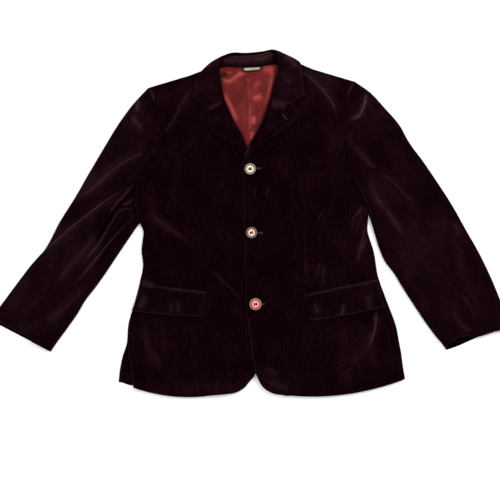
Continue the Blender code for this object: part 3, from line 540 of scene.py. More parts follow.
ROLL_LEFT = [
    Place(-18, 30), Place(-19, 87), Place(-19, 132), Place(-16, 150), Place(-2, 170), Place(9, 191),
    Place(24, 216), Place(37, 242), Place(46, 264), Place(54, 292), Place(61, 325), Place(71, 368),
]
ROLL_RIGHT = [
    Place(21, 26), Place(19, 87), Place(10, 129), Place(-3, 150), Place(-17, 168), Place(-28, 190),
    Place(-44, 222), Place(-60, 255), Place(-69, 285), Place(-75, 314), Place(-80, 352),
]
Front = namedtuple("Front", "rows roll armhole outward")
FRONTS = {
    "left": Front(FRONT_LEFT, ROLL_LEFT, ARMHOLE_LEFT, 1.0),
    "right": Front(FRONT_RIGHT, ROLL_RIGHT, ARMHOLE_RIGHT, -1.0),
}
BODY_FOLDS = [
    Fold(-236, 24, -130, -56, 0, 15, 4.0),
    Fold(-104, -94, -22, -172, 4, 15, 2.6),
    Fold(-136, 298, -197, 195, 4, 16, 2.4),
    Fold(118, 330, 202, 238, 0, 16, 2.4),
    Fold(256, -6, 238, -78, 0, 13, 2.6),
    Fold(283, -226, 246, -312, -8, 15, 4.0),
]
# Creases of the fronts: a little height, a painted highlight along the crest and soft painted light beside
# it.
BODY_CREASES = [
    Crease(((-132, 305), (-156, 271), (-187, 215), (-205, 199)), 10, 4, 1.8, 0.18, 0.05, 9),
    Crease(((-219, 192), (-223, 170), (-215, 162)), 5, 4, 1.0, 0.26, 0.06, 5),
    Crease(((-233, 26), (-206, 6), (-179, -12), (-132, -57)), 9, 12, 1.8, 0.06, 0.09, 11),
    Crease(((-226, 14), (-196, -8), (-160, -36)), 9, 9, 0.8, 0.0, 0.03, 10),
    Crease(((-102, -98), (-65, -129), (-30, -165), (-17, -188)), 10, 5, 2.0, 0.20, 0.09, 8),
    Crease(((-242, -222), (-233, -276), (-214, -305), (-197, -336)), 12, 12, 1.4, 0.04, 0.06, 10),
    Crease(((-222, -236), (-200, -246), (-184, -240)), 9, 9, 0.6, 0.0, 0.02, 12),
    Crease(((109, 345), (134, 325), (161, 298), (181, 271), (192, 242)), 10, 4, 2.0, 0.38, 0.09, 11),
    Crease(((116, 352), (150, 335), (196, 316)), 9, 9, 0.6, 0.0, 0.05, 14),
    Crease(((251, 39), (243, 28), (231, 15)), 6, 4, 1.2, 0.25, 0.05, 6),
    Crease(((248, 22), (238, -8), (236, -34)), 6, 6, 1.0, 0.06, 0.03, 8),
    Crease(((262, -30), (246, -57), (237, -87)), 8, 5, 1.6, 0.22, 0.08, 9),
    Crease(((255, -6), (250, -34), (240, -60)), 6, 6, 0.8, 0.22, 0.06, 6),
    Crease(((281, -197), (277, -240), (265, -276)), 4, 11, 2.4, 0.56, 0.15, 8),
    Crease(((266, -274), (246, -298), (224, -318)), 6, 12, 1.4, 0.08, 0.06, 9),
    Crease(((264, -240), (269, -273)), 6, 6, 0.6, 0.08, 0.02, 6),
    Crease(((28, -327), (46, -333), (63, -341)), 8, 8, 0.8, 0.05, 0.07, 9),
    Crease(((40, -352), (62, -366), (90, -374)), 8, 8, 0.6, 0.0, 0.08, 9),
    Crease(((-249, -128), (-236, -134), (-214, -138)), 6, 6, 0.8, 0.22, 0.12, 7),
    Crease(((119, 93), (121, 3), (121, -62), (127, -150)), 2.2, 2.2, -0.5, 0.08, 0.02, 4),
    Crease(((-116, 84), (-117, -20), (-120, -138)), 2.2, 2.2, -0.4, 0.05, 0.02, 4),
    Crease(((8, 89), (7, 66), (8, 42)), 4, 4, 0.3, 0.22, 0.08, 4),
    Crease(((34, 89), (35, 74), (34, 57)), 4, 4, 0.3, 0.22, 0.08, 4),
    Crease(((154, -87), (150, -104), (149, -118)), 2.5, 2.5, 0.3, 0.12, 0.0, 3),
    Crease(((116, -91), (127, -107), (145, -91)), 2.5, 2.5, 0.3, 0.11, 0.0, 3),
    Crease(((86, -120), (110, -132), (150, -128)), 7, 7, 0.4, 0.0, 0.02, 9),
    Crease(((168, -93), (161, -122), (168, -145)), 2.5, 2.5, 0.3, 0.12, 0.02, 3),
    Crease(((170, 37), (157, 24), (149, 1)), 2.5, 2.5, 0.3, 0.14, 0.02, 4),
    Crease(((159, -1), (154, -28), (154, -55)), 2.5, 2.5, 0.3, 0.10, 0.02, 4),
    Crease(((179, 30), (175, 23), (172, 15)), 2.5, 2.5, 0.2, 0.11, 0.0, 3),
    Crease(((231, 16), (228, 0), (226, -15)), 2.5, 2.5, 0.3, 0.12, 0.02, 4),
    Crease(((93, 78), (92, 58), (97, 38)), 2.5, 2.5, 0.2, 0.12, 0.0, 3),
    Crease(((-60, -236), (-56, -276), (-60, -316)), 8, 8, 0.5, 0.0, 0.015, 10),
    Crease(((120, -256), (126, -296), (122, -330)), 8, 8, 0.5, 0.0, 0.01, 10),
    Crease(((206, -246), (214, -284), (208, -322)), 7, 7, 0.5, 0.0, 0.01, 8),
    Crease(((-229, 301), (-223, 288), (-218, 274)), 4, 4, 0.3, 0.24, 0.07, 5),
    Crease(((231, 317), (225, 303), (218, 287)), 4, 4, 0.3, 0.34, 0.12, 5),
    # Painted shadow: beside the left armhole under the sleeve, under both lapel edges and collar leaves, and
    # under both pocket flaps.
    Crease(((222, 136), (236, 97), (251, 64), (261, 38)), 6, 3, -0.6, -0.90, -0.50, 4),
    Crease(((-125, 240), (-108, 220), (-86, 201), (-63, 183.5), (-42, 169), (-18, 153)),
           3, 3, 0.0, -0.65, -0.40, 2.4),
    Crease(((-133, 282), (-120, 271), (-107, 260)), 3, 3, 0.0, -0.25, -0.15, 2.6),
    Crease(((121, 285), (107, 275), (92, 266)), 3, 3, 0.0, -0.45, -0.25, 2.8),
    Crease(((-4, 142), (15, 165), (40, 186), (69, 203), (94, 222)), 3, 3, 0.0, -0.25, -0.12, 4),
    Crease(((-270, -201), (-190, -210), (-110, -214)), 3, 3, 0.0, -0.30, -0.12, 3.5),
    Crease(((133, -223), (215, -209), (302, -192)), 3, 3, 0.0, -0.35, -0.15, 3.5),
]
# Broad painted light and shade on the fronts: lighter towards the shoulders, sides and hem, darker down the
# middle.
BODY_PATCHES = [
    Patch(-165, 290, 60, 36, 0.02),
    Patch(165, 305, 60, 36, 0.025),
    Patch(190, 180, 34, 60, 0.04),
    Patch(0, 60, 120, 110, -0.12),
    Patch(-150, -80, 80, 50, -0.10),
    Patch(-205, -255, 46, 60, 0.03),
    Patch(170, -110, 60, 26, 0.02),
    Patch(225, -30, 34, 60, 0.025),
    Patch(230, -290, 60, 60, 0.04),
    Patch(-90, -372, 120, 16, 0.05),
    Patch(60, -360, 60, 24, 0.03),
    Patch(0, -150, 70, 70, -0.10),
]


def before(share, span):
    """1 before a span given by two stops, eased to 0 at its end."""
    return ease((span[1] - share) / (span[1] - span[0]))


def round_over(value):
    """A quarter of a round edge: 0 at the edge, 1 from the end of the roll inwards."""
    inward = 1.0 - np.clip(value, 0.0, 1.0)
    return np.sqrt(1.0 - inward * inward)


def beside(line, x, y):
    """Share along a bowed fold line and distance to its left, for the places x, y."""
    run = np.array((line.x1 - line.x0, line.y1 - line.y0), dtype=float)
    length = np.linalg.norm(run)
    run /= length
    along = ((x - line.x0) * run[0] + (y - line.y0) * run[1]) / length
    across = (y - line.y0) * run[0] - (x - line.x0) * run[1]
    inside = np.clip(along, 0.0, 1.0)
    return along, across - line.bow * 4.0 * inside * (1.0 - inside)


def fold_rise(folds, x, y):
    """Height that the wide folds add at the places x, y."""
    total = np.zeros_like(x)
    for fold in folds:
        along, across = beside(fold, x, y)
        taper = ease(along / FOLD_TAPER + FOLD_TAPER) * ease((1.0 - along) / FOLD_TAPER + FOLD_TAPER)
        total += fold.rise * taper * np.exp(-((across / fold.width) ** 2))
    return total


def crease_shape(creases, x, y):
    """Height and painted light and shade of narrow creases at the places x, y.

    A crease runs through its places. left and right are the widths of its flanks, rise its height, line the
    painted highlight along its crest, and bloom the soft painted light out to its reach, most of it on the
    wider flank. A line or bloom below 0 paints shade.
    """
    rise = np.zeros_like(x)
    glow = np.zeros_like(x)
    for crease in creases:
        line = Path(crease.places).at_share(np.linspace(0.0, 1.0, CREASE_STEPS))
        margin = CREASE_MARGIN * max(crease.left, crease.right, crease.reach)
        low = line.min(axis=0) - margin
        high = line.max(axis=0) + margin
        near = (x > low[0]) & (x < high[0]) & (y > low[1]) & (y < high[1])
        if not near.any():
            continue
        spots = np.column_stack((x[near], y[near]))
        away = ((spots[:, None, :] - line[None]) ** 2).sum(axis=2)
        nearest = away.argmin(axis=1)
        run = np.gradient(line, axis=0)
        run /= np.linalg.norm(run, axis=1, keepdims=True)
        offset = spots - line[nearest]
        tangent = run[nearest]
        across = tangent[:, 0] * offset[:, 1] - tangent[:, 1] * offset[:, 0]
        beyond = np.abs((offset * tangent).sum(axis=1))
        share = nearest / (CREASE_STEPS - 1.0)
        taper = ease(share / CREASE_TAPER + CREASE_BLUNT) * ease((1.0 - share) / CREASE_TAPER + CREASE_BLUNT)
        taper = taper * np.exp(-((beyond / CREASE_END) ** 2))
        flank = np.where(across > 0.0, crease.left, crease.right)
        rise[near] += crease.rise * taper * np.exp(1.0 - np.sqrt(1.0 + 2.0 * (across / flank) ** 2))
        # Painted highlight along the crest and soft painted light beside it, painted shade where below 0.
        crest = crease.line * np.exp(-((across / CREST_WIDTH) ** 2))
        lean = CREASE_LEAN * (crease.left - crease.right) / (crease.left + crease.right)
        soft = np.exp(-((across / crease.reach) ** 2))
        soft *= (1.0 + lean * np.tanh(across / (CREASE_LEAN_REACH * crease.reach))) / (1.0 + abs(lean))
        glow[near] += taper * (crest + crease.bloom * soft)
    return rise, glow


def patch_light(patches, x, y):
    """Soft patches of painted light, or painted shade where their light is below 0."""
    total = np.zeros_like(x)
    for patch in patches:
        away = ((x - patch.x) / patch.wide) ** 2 + ((y - patch.y) / patch.high) ** 2
        total += patch.light * np.exp(-away)
    return total


def seam_height(share):
    """Height of the cloth along an armhole, from the shoulder to the armpit."""
    return RIM + (CAP_HEIGHT - RIM) * round_over(np.minimum(share, 1.0 - share) / CAP_ROLL)


def armhole(side, share, over):
    """Points of an armhole edge: the piece that lies over, or the one that is tucked under."""
    line = Path(FRONTS[side].armhole).at_share(share)
    height = seam_height(share) + (OVER_LIFT if over else -UNDER_DROP) * between(share, LAP_SPAN)
    if not over:
        line[:, 0] += TUCK * between(share, TUCK_SPAN)
    return np.column_stack((line, height))


def front_points(side):
    """Upper face of a front and its painted light and shade, in rows from the hem to the shoulder."""
    table = FRONTS[side].rows
    last = len(table) - 1
    hem_rows = np.concatenate(((0.0, 0.02, 0.05, 0.09, 0.14), np.arange(0.2, 5.0, 0.13)))
    skirt_rows = np.concatenate((hem_rows, np.linspace(5.0, last, int((last - 5) * 16))))
    shoulder_stops = (0.008, 0.005, 0.003, 0.0015, 0.0004, 0.0)
    arm_shares = np.concatenate((np.linspace(1.0, 0.012, 116)[1:], shoulder_stops))
    skirt = Path(table, reach=4).at_row(skirt_rows)
    roll = Path(FRONTS[side].roll).at_share(1.0 - arm_shares)
    hole = armhole(side, arm_shares, over=side == "right")
    shoulder = round_over(arm_shares / CAP_ROLL)
    crown = CHEST_HEIGHT + (SHOULDER_HEIGHT - CHEST_HEIGHT) * before(arm_shares, PAD_SPAN)
    if side == "left":
        lap = np.full(len(arm_shares), OVERLAP_HEIGHT)
    else:
        lap = UNDERLAP_HEIGHT + (CHEST_HEIGHT - UNDERLAP_HEIGHT) * before(arm_shares, CHEST_SPAN)
    inner = np.vstack((skirt[:, 0:2], roll))
    outer = np.vstack((skirt[:, 2:4], hole[:, :2]))
    outer[len(skirt):, 0] -= FRONTS[side].outward * SEAM_GAP / 2
    bow = np.concatenate((skirt[:, 4], np.zeros(len(roll))))
    edge = np.concatenate((np.full(len(skirt), RIM), hole[:, 2]))
    crown = np.concatenate((skirt[:, 5], RIM + (crown - RIM) * shoulder))
    lap = np.concatenate((skirt[:, 6], RIM + (lap - RIM) * shoulder))
    length = np.linalg.norm(inner - outer, axis=1)
    near_stops = np.concatenate((RIM_STOPS, SIDE_STOPS))
    far_stops = RIM_STOPS[::-1]
    spread = np.linspace(0.0, 1.0, int(length.max() / FRONT_STEP))
    stop = length[:, None] - FREE_EDGE_STOP
    middle = EDGE_ROLL + (stop - EDGE_ROLL) * spread[None, :]
    near = np.tile(near_stops, (len(length), 1))
    from_edge = np.hstack((near, middle, length[:, None] - far_stops[None, :]))
    share = from_edge / length[:, None]
    flat = outer[:, None, :] + (inner - outer)[:, None, :] * share[..., None]
    flat[..., 1] += bow[:, None] * 4.0 * share * (1.0 - share)
    lapped = 1.0 - ease((length[:, None] - from_edge - LAP_BAND) / LAP_SLOPE)
    body = crown[:, None] + (lap - crown)[:, None] * lapped
    rolled = round_over(from_edge / EDGE_ROLL)
    top = np.concatenate((np.ones(len(skirt)), shoulder))
    rise, glow = crease_shape(BODY_CREASES, flat[..., 0], flat[..., 1])
    folds = (fold_rise(BODY_FOLDS, flat[..., 0], flat[..., 1]) + rise) * rolled * top[:, None]
    fall = np.where(edge[:, None] > body, 1.0 - ease(from_edge / SEAM_SLOPE), 1.0 - rolled)
    points = np.dstack((flat, body + (edge[:, None] - body) * fall + folds))
    # Painted highlight along the free edge, faint along the side seams and stronger on the right front's vent
    # edge.
    free = length[:, None] - from_edge
    side_edge = np.exp(-((from_edge / SEAM_RIM_WIDTH) ** 2))
    rim = FRONT_RIM * np.exp(-((free / FRONT_RIM_WIDTH) ** 2)) + SEAM_RIM * side_edge
    if side == "right":
        rim += VENT_RIM * side_edge * ease((VENT_START_Y - flat[..., 1]) / VENT_RIM_FADE)
    return points, glow + rim + patch_light(BODY_PATCHES, flat[..., 0], flat[..., 1])


class Surface:
    """The upper face of a panel, to lay other pieces on."""

    def __init__(self, points):
        rows, columns = points.shape[:2]
        corners = np.arange(rows * columns).reshape(rows, columns)
        quads = np.stack((corners[:-1, :-1], corners[:-1, 1:], corners[1:, 1:], corners[1:, :-1]), axis=-1)
        self.tree = BVHTree.FromPolygons(points.reshape(-1, 3).tolist(), quads.reshape(-1, 4).tolist())

    def height(self, x, y, fallback):
        """Height of the face over x, y."""
        place = self.tree.ray_cast(Vector((x, y, WELL_ABOVE)), STRAIGHT_DOWN)[0]
        return fallback if place is None else place.z

    def lift(self, x, y, distance, fallback):
        """The place over x, y moved out from the face by a distance."""
        place, normal, _, _ = self.tree.ray_cast(Vector((x, y, WELL_ABOVE)), STRAIGHT_DOWN)
        if place is None:
            return np.array((x, y, fallback + distance))
        if normal.z < 0:
            normal = -normal
        return np.array(place + normal * distance)


front_faces = {}
for side in ("right", "left"):
    front, front_light = front_points(side)
    sew("front_" + side, front, BODY_WALL, VELVET, light=front_light)
    front_faces[side] = Surface(front)

# Sleeves
# Two-piece velvet sleeves, the under piece flat on the table and the upper piece over it, seamed along
# both edges and set into the armholes. The elbows are creased from wear.
SleeveRow = namedtuple("SleeveRow", "outer_x outer_y inner_x inner_y height")
SLEEVE_WALL = 2.4
CAP_REACH = 0.45
SEAM_REACH = 0.10
FOLD_REACH = 0.07
CUFF_REACH = 0.15
SLEEVE_STEP = 2.2
UNDER_STEP = 7.0
EDGE_PAIR = 1.41
SLEEVE_LEFT = [
    SleeveRow(233, 320, 264, 21, CAP_HEIGHT),
    SleeveRow(267, 296, 270, 3, 10.2),
    SleeveRow(300, 261, 278, -24, 9.6),
    SleeveRow(333, 223, 287, -53, 9.0),
    SleeveRow(355, 184, 300, -84, 8.6),
    SleeveRow(388, 139, 321, -112, 8.4),
    SleeveRow(420.5, 91, 341, -145, 8.2),
    SleeveRow(454.5, 38, 361, -176, 8.0),
    SleeveRow(483.5, -14, 380, -205, 7.8),
    SleeveRow(512.5, -65, 398, -231, 7.6),
    SleeveRow(541, -124, 416, -255, 7.6),
    SleeveRow(564, -179, 429, -270, 7.8),
    SleeveRow(591, -235, 440, -285, 8.2),
]
SLEEVE_RIGHT = [
    SleeveRow(-233, 306, -252, 1, CAP_HEIGHT),
    SleeveRow(-267, 269, -263, -14, 10.2),
    SleeveRow(-300, 224, -280, -39, 9.6),
    SleeveRow(-333, 170, -303, -73, 9.0),
    SleeveRow(-366, 114, -327, -109, 8.6),
    SleeveRow(-397, 60, -351, -143, 8.4),
    SleeveRow(-431, 6, -375, -174, 8.2),
    SleeveRow(-467, -60, -396, -209, 8.0),
    SleeveRow(-489, -84, -411, -230, 7.8),
    SleeveRow(-528, -134, -430, -256, 7.6),
    SleeveRow(-562, -180, -443, -274, 7.4),
    SleeveRow(-591, -217, -453, -289, 7.4),
]
SLEEVE_FOLDS_RIGHT = [
    Fold(-240, 158, -394, 42, 9, 15, 5.0),
    Fold(-300, 74, -472, -66, 4, 14, 5.5),
    Fold(-262, 92, -326, 0, 0, 13, -4.0),
    Fold(-270, 48, -390, -106, 0, 14, 4.5),
    Fold(-262, 12, -408, -152, 4, 13, 4.5),
    Fold(-258, 274, -250, 212, -6, 13, 3.0),
]
SLEEVE_FOLDS_LEFT = [
    Fold(258, 292, 224, 228, 8, 13, 3.0),
    Fold(303, 112, 366, 40, 3, 14, 4.5),
    Fold(286, 58, 348, -38, 2, 15, 4.5),
    Fold(424, -48, 503, -172, 4, 17, 3.0),
    Fold(404, -130, 452, -210, 0, 14, -2.0),
]
# Creases of the upper sleeves with painted highlights along them; a line below 0 is painted shade in a deep
# fold.
SLEEVE_CREASES_RIGHT = [
    Crease(((-233, 145), (-243, 153), (-272, 145), (-314, 117), (-364, 73), (-397, 51)),
           6, 12, 1.8, 0.30, 0.11, 13),
    Crease(((-297, 71), (-331, 48), (-386, 6), (-427, -28), (-467, -66)), 14, 4, 2.8, 0.46, 0.11, 14),
    Crease(((-258, 88), (-276, 67), (-297, 41), (-318, 14), (-331, -3)), 3, 3, -3.0, -0.45, -0.20, 3.0),
    Crease(((-262, 90), (-281, 70), (-303, 46), (-324, 18)), 3, 3, 0.5, 0.30, 0.05, 4),
    Crease(((-262, 66), (-270, 52), (-292, 40)), 4, 3, 0.9, 0.42, 0.03, 5),
    Crease(((-264, 33), (-297, 29), (-314, 3), (-337, -36), (-381, -93)), 8, 4, 2.0, 0.34, 0.07, 7),
    Crease(((-310, 22), (-329, -5), (-348, -36)), 3, 3, -1.4, -0.40, -0.40, 3.0),
    Crease(((-262, 16), (-306, -28), (-356, -89), (-404, -145)), 8, 4, 2.2, 0.34, 0.05, 8),
    Crease(((-268, 4), (-310, -44), (-350, -98)), 3, 3, -1.0, -0.10, -0.15, 5),
    Crease(((-340, -16), (-381, -64), (-406, -93), (-440, -138)), 12, 12, 1.6, 0.12, 0.08, 11),
    Crease(((-364, -131), (-398, -169), (-469, -232)), 10, 12, 1.4, 0.10, 0.09, 11),
    Crease(((-253, 281), (-256, 268), (-258, 250)), 5, 6, 1.4, 0.40, 0.14, 7),
    Crease(((-268, 244), (-256, 222), (-243, 212)), 6, 7, 1.4, 0.18, 0.15, 8),
    Crease(((-410, 46), (-372, 88), (-350, 122)), 8, 8, 0.8, 0.0, 0.09, 13),
    Crease(((-420, 6), (-446, -26), (-470, -60)), 8, 8, 0.6, 0.05, 0.06, 10),
    Crease(((-500, -120), (-526, -160), (-548, -196)), 10, 10, 0.6, 0.0, 0.08, 14),
    Crease(((-470, -214), (-500, -236), (-530, -226)), 8, 8, 0.4, 0.0, 0.06, 12),
    Crease(((-258, 96), (-266, 60), (-256, 10)), 3, 3, -0.4, -0.20, -0.20, 4),
]
SLEEVE_CREASES_LEFT = [
    Crease(((259, 294), (253, 266), (242, 243), (222, 233)), 5, 9, 2.0, 0.66, 0.20, 7),
    Crease(((228, 214), (222, 196), (228, 176)), 5, 5, 0.6, 0.04, 0.05, 7),
    Crease(((232, 180), (246, 158), (269, 132)), 7, 7, 1.0, 0.07, 0.07, 9),
    Crease(((262, 138), (270, 131), (280, 128)), 5, 5, 0.8, 0.17, 0.05, 6),
    Crease(((297, 113), (325, 87), (345, 62), (365, 45)), 6, 11, 1.4, 0.16, 0.05, 8),
    Crease(((264, 102), (286, 50), (310, 20), (343, -28)), 12, 9, 1.6, 0.07, 0.075, 10),
    Crease(((300, 36), (322, 0), (336, -22)), 5, 5, 0.8, 0.12, 0.05, 6),
    Crease(((275, 71), (288, 49), (298, 33)), 6, 6, 0.8, 0.09, 0.04, 6),
    Crease(((456, 6), (462, -12), (469, -28)), 7, 7, 0.6, 0.08, 0.07, 8),
    Crease(((451, -195), (470, -224), (495, -246)), 8, 8, 1.2, 0.09, 0.06, 8),
    Crease(((475, -159), (490, -186), (504, -216)), 5, 6, 0.8, 0.14, 0.03, 6),
    Crease(((394, 20), (416, -14), (432, -52)), 9, 9, 0.7, 0.0, 0.01, 13),
    Crease(((330, -36), (352, -90), (384, -150)), 9, 9, 0.7, 0.0, 0.01, 13),
    Crease(((300, 190), (314, 172), (326, 150)), 8, 8, 0.6, 0.0, 0.03, 13),
    Crease(((376, -20), (392, -70), (408, -130)), 9, 9, 0.7, 0.0, 0.01, 12),
    Crease(((420, 30), (450, -40), (486, -120)), 9, 9, 0.6, 0.0, 0.03, 13),
]
CUFF_ARCH = 18.0
CUFF_BOW = 5.5
CUFF_SHOW = 7.0
CUFF_OPEN = 3.0
CUFF_ARCH_START = 0.46
CUFF_ARCH_EASE = 0.30
CUFF_ARCH_ROUND = 0.26
CUFF_SHOW_EASE = 0.04
CUFF_SHOW_END = 0.70
CUFF_SHOW_FADE = 0.10
CUFF_BOW_EASE = 0.3
CUFF_BOW_END = 0.9
CUFF_BOW_FADE = 0.45
# Painted shade inside the cuff mouth, painted highlights along the cuff end and seams, painted light over the
# upper sleeves.
CUFF_SHADE = 0.9
CUFF_SHADE_START = 0.95
CUFF_SHADE_EASE = 0.02
CUFF_RIM = 0.24
CUFF_RIM_WIDTH = 2.0
SLEEVE_RIM = 0.10
SLEEVE_RIM_WIDTH = 3.0
SLEEVE_LIGHT = 0.018
# Broad patches of painted light on the upper sleeves, and one of painted shade on the right sleeve.
SLEEVE_PATCHES = [
    Patch(-275, 250, 30, 50, 0.05),
    Patch(-330, 130, 60, 60, 0.025),
    Patch(-420, -80, 60, 60, 0.035),
    Patch(-300, 0, 40, 40, -0.08),
    Patch(-520, -190, 60, 40, 0.02),
    Patch(280, 250, 40, 50, 0.03),
    Patch(390, -70, 50, 70, 0.04),
    Patch(330, -20, 30, 60, 0.03),
    Patch(490, -170, 60, 60, 0.02),
    Patch(300, 80, 40, 40, 0.03),
]
SLEEVES = {
    "left": (SLEEVE_LEFT, SLEEVE_FOLDS_LEFT, SLEEVE_CREASES_LEFT),
    "right": (SLEEVE_RIGHT, SLEEVE_FOLDS_RIGHT, SLEEVE_CREASES_RIGHT),
}


def cuff_cut(side, share):
    """How far the upper piece of a cuff lies back from the under piece."""
    if side == "left":
        arch = ease((share - CUFF_ARCH_START) / CUFF_ARCH_EASE)
        return CUFF_ARCH * arch * round_over((1.0 - share) / CUFF_ARCH_ROUND)
    return CUFF_SHOW * ease(share / CUFF_SHOW_EASE) * ease((CUFF_SHOW_END - share) / CUFF_SHOW_FADE)


def cuff_bow(side, share):
    """How far the whole end of a sleeve curves back towards the elbow."""
    if side == "left":
        return CUFF_BOW * ease(share / CUFF_BOW_EASE) * ease((CUFF_BOW_END - share) / CUFF_BOW_FADE)
    return np.zeros_like(share)


def sleeve_points(side, upper):
    """One face of a sleeve, its threads and its painted light and shade, in rows from the armhole to the
    cuff.
    """
    table, folds, creases = SLEEVES[side]
    step = SLEEVE_STEP if upper else UNDER_STEP
    curve = Path(table, reach=4)
    length = curve.length / EDGE_PAIR
    down = edged_spread(length, step) / length
    edges = curve.at_share(down)
    width = np.linalg.norm(edges[:, 0:2] - edges[:, 2:4], axis=1).mean()
    share = edged_spread(width, step) / width
    outer = edges[:, None, 0:2]
    inner = edges[:, None, 2:4]
    flat = outer + (inner - outer) * share[None, :, None]
    if upper:
        hole = armhole(side, share, over=side == "left")[:, :2]
    else:
        hole = Path(FRONTS[side].armhole).at_share(share)
    fade = (1.0 - ease(down / CAP_REACH))[:, None, None]
    flat = flat + (hole - flat[0])[None] * fade
    seam_gap = np.full(len(share), SEAM_GAP / 2)
    if not upper:
        seam_gap -= (BACK_ARM_INSET - BACK_INSET) * between(share, ARM_SPAN)
    flat[..., 0] += FRONTS[side].outward * seam_gap[None, :] * fade[..., 0]
    grain_across = np.tile(share * width, (len(down), 1))
    grain = np.dstack((grain_across, np.tile(-down[:, None] * length, (1, len(share)))))
    along = edges[-1, 0:2] - edges[-8, 0:2]
    along = along / np.linalg.norm(along)
    near_cuff = ease((down - 1.0) / CUFF_REACH + 1.0)[:, None]
    flat = flat - along * (cuff_bow(side, share)[None, :] * near_cuff)[..., None]
    if not upper:
        points = np.dstack((flat, np.full(flat.shape[:2], SLEEVE_WALL)))
        # Painted shade inside the mouth of the cuff.
        inside = -CUFF_SHADE * ease((down - CUFF_SHADE_START) / CUFF_SHADE_EASE)
        return points, grain, np.tile(inside[:, None], (1, len(share)))
    arch = cuff_cut(side, share)
    flat = flat - along * (arch[None, :] * near_cuff)[..., None]
    rolled = round_over(np.minimum(share, 1.0 - share) / CAP_ROLL)
    height = RIM + (edges[:, None, 4] - RIM) * rolled[None, :]
    lap = OVER_LIFT if side == "left" else -UNDER_DROP
    height = height + lap * between(share, LAP_SPAN)[None, :] * (1.0 - ease(down / SEAM_REACH))[:, None]
    rise, glow = crease_shape(creases, flat[..., 0], flat[..., 1])
    relief = fold_rise(folds, flat[..., 0], flat[..., 1]) + rise
    height = height + relief * rolled[None, :] * ease(down / FOLD_REACH)[:, None]
    mouth = arch / CUFF_ARCH * CUFF_OPEN * near_cuff
    points = np.dstack((flat, height + mouth))
    # Painted highlights along the cuff end and the seams, besides the painted light of creases and patches.
    end = CUFF_RIM * np.exp(-(((1.0 - down) * length / CUFF_RIM_WIDTH) ** 2))[:, None]
    from_side = np.minimum(share, 1.0 - share) * width
    sides = SLEEVE_RIM * np.exp(-((from_side / SLEEVE_RIM_WIDTH) ** 2))[None, :]
    patches = patch_light(SLEEVE_PATCHES, flat[..., 0], flat[..., 1])
    return points, grain, glow + end + sides + SLEEVE_LIGHT + patches


for side in ("right", "left"):
    under, under_grain, under_light = sleeve_points(side, upper=False)
    under_name = "sleeve_" + side + "_under"
    sew(under_name, under, SLEEVE_WALL, VELVET, under_grain, under_light)
    over, over_grain, over_light = sleeve_points(side, upper=True)
    sew("sleeve_" + side + "_upper", over, SLEEVE_WALL, VELVET,
        over_grain, over_light)

# Lapels
# The tops of the fronts, faced with velvet and turned back over a soft roll, with a notch at the gorge.
LapelRow = namedtuple("LapelRow", "roll_x roll_y edge_x edge_y")
COLLAR_WALL = 2.2
LAPEL_GAP = 1.5
LAPEL_CREST = 2.6
LAPEL_FULL_WIDTH = 30.0
LAPEL_TURN = 0.45
LAPEL_NOTCH_SHARE = 0.72
GORGE_PRESS = 0.25
LAPEL_RIM_START = 1.8
LAPEL_RIM_WIDTH = 1.6
LAPEL_ROLL_TURN = 62.0
ROLL_RADIUS = 3.2
ROLL_END_TURN = 80.0
ROLL_STEPS = 12
LAPEL_LEFT = [
    LapelRow(-17, 148, -10, 144),
    LapelRow(-8, 170, 10, 168),
    LapelRow(3, 190, 35, 189),
    LapelRow(18, 214, 64, 207),
    LapelRow(30, 240, 89, 226),
    LapelRow(44, 282, 107, 246),
]
LAPEL_RIGHT = [
    LapelRow(-8, 167, -16, 155),
    LapelRow(-16.6, 188, -40, 172),
    LapelRow(-28.4, 212, -62, 186),
    LapelRow(-40, 232, -84.5, 203.5),
    LapelRow(-48.5, 251, -106, 223),
    LapelRow(-61.5, 281, -122.5, 241),
]
GORGE = {
    "left": [Place(44, 282), Place(66, 275), Place(91, 268)],
    "right": [Place(-61.5, 281), Place(-87, 271), Place(-107, 261)],
}
# Painted light over each lapel, a little lighter on the left and darker on the right, and painted highlights
# along their edges.
LAPEL_LIGHT = {"left": 0.005, "right": -0.02}
LAPEL_RIM = {"left": 0.24, "right": 0.08}
LAPELS = {"left": (LAPEL_LEFT, OVERLAP_HEIGHT), "right": (LAPEL_RIGHT, CHEST_HEIGHT)}
# Painted highlights on the lapels: soft bands near the gorge seams and across them, and a line along the
# right roll by the break.
LAPEL_CREASES = [
    Crease(((-66, 236), (-84, 232), (-100, 226)), 8, 8, 0.6, 0.0, 0.07, 10),
    Crease(((44, 267), (60, 267), (80, 263)), 8, 8, 0.6, 0.0, 0.24, 8),
    Crease(((-101, 256), (-83, 264), (-64, 275)), 6, 6, 0.6, 0.0, 0.24, 4.5),
    Crease(((-4, 177), (-9.5, 164), (-16, 149)), 3, 3, 0.0, 0.24, 0.05, 3),
    Crease(((30, 214), (46, 220), (58, 222)), 8, 8, 0.5, 0.0, 0.05, 10),
]


def roll_section(reach, turn, strips):
    """Shares across and drops below the crest of a rolled edge followed by evenly spaced strips.

    turn is the angle in degrees, below the horizontal, where the roll begins.
    """
    angles = np.radians(np.linspace(-turn, ROLL_END_TURN, ROLL_STEPS))
    near = ROLL_RADIUS * (1.0 - np.cos(angles)) / reach
    share = np.concatenate((near, near[-1] + (1.0 - near[-1]) * strips[1:]))
    drop = np.concatenate((ROLL_RADIUS * (1.0 - np.sin(angles)), np.zeros(len(strips) - 1)))
    return share, drop


def gorge_line(side, point, notch_share, share):
    """The end of a lapel or a collar leaf: along the gorge to the notch, then to its point."""
    gorge = np.array(GORGE[side], dtype=float)
    shares = np.concatenate((np.linspace(0.0, notch_share, len(gorge)), [1.0]))
    stops = np.vstack((gorge, point))
    return np.column_stack([np.interp(share, shares, stops[:, axis]) for axis in (0, 1)])


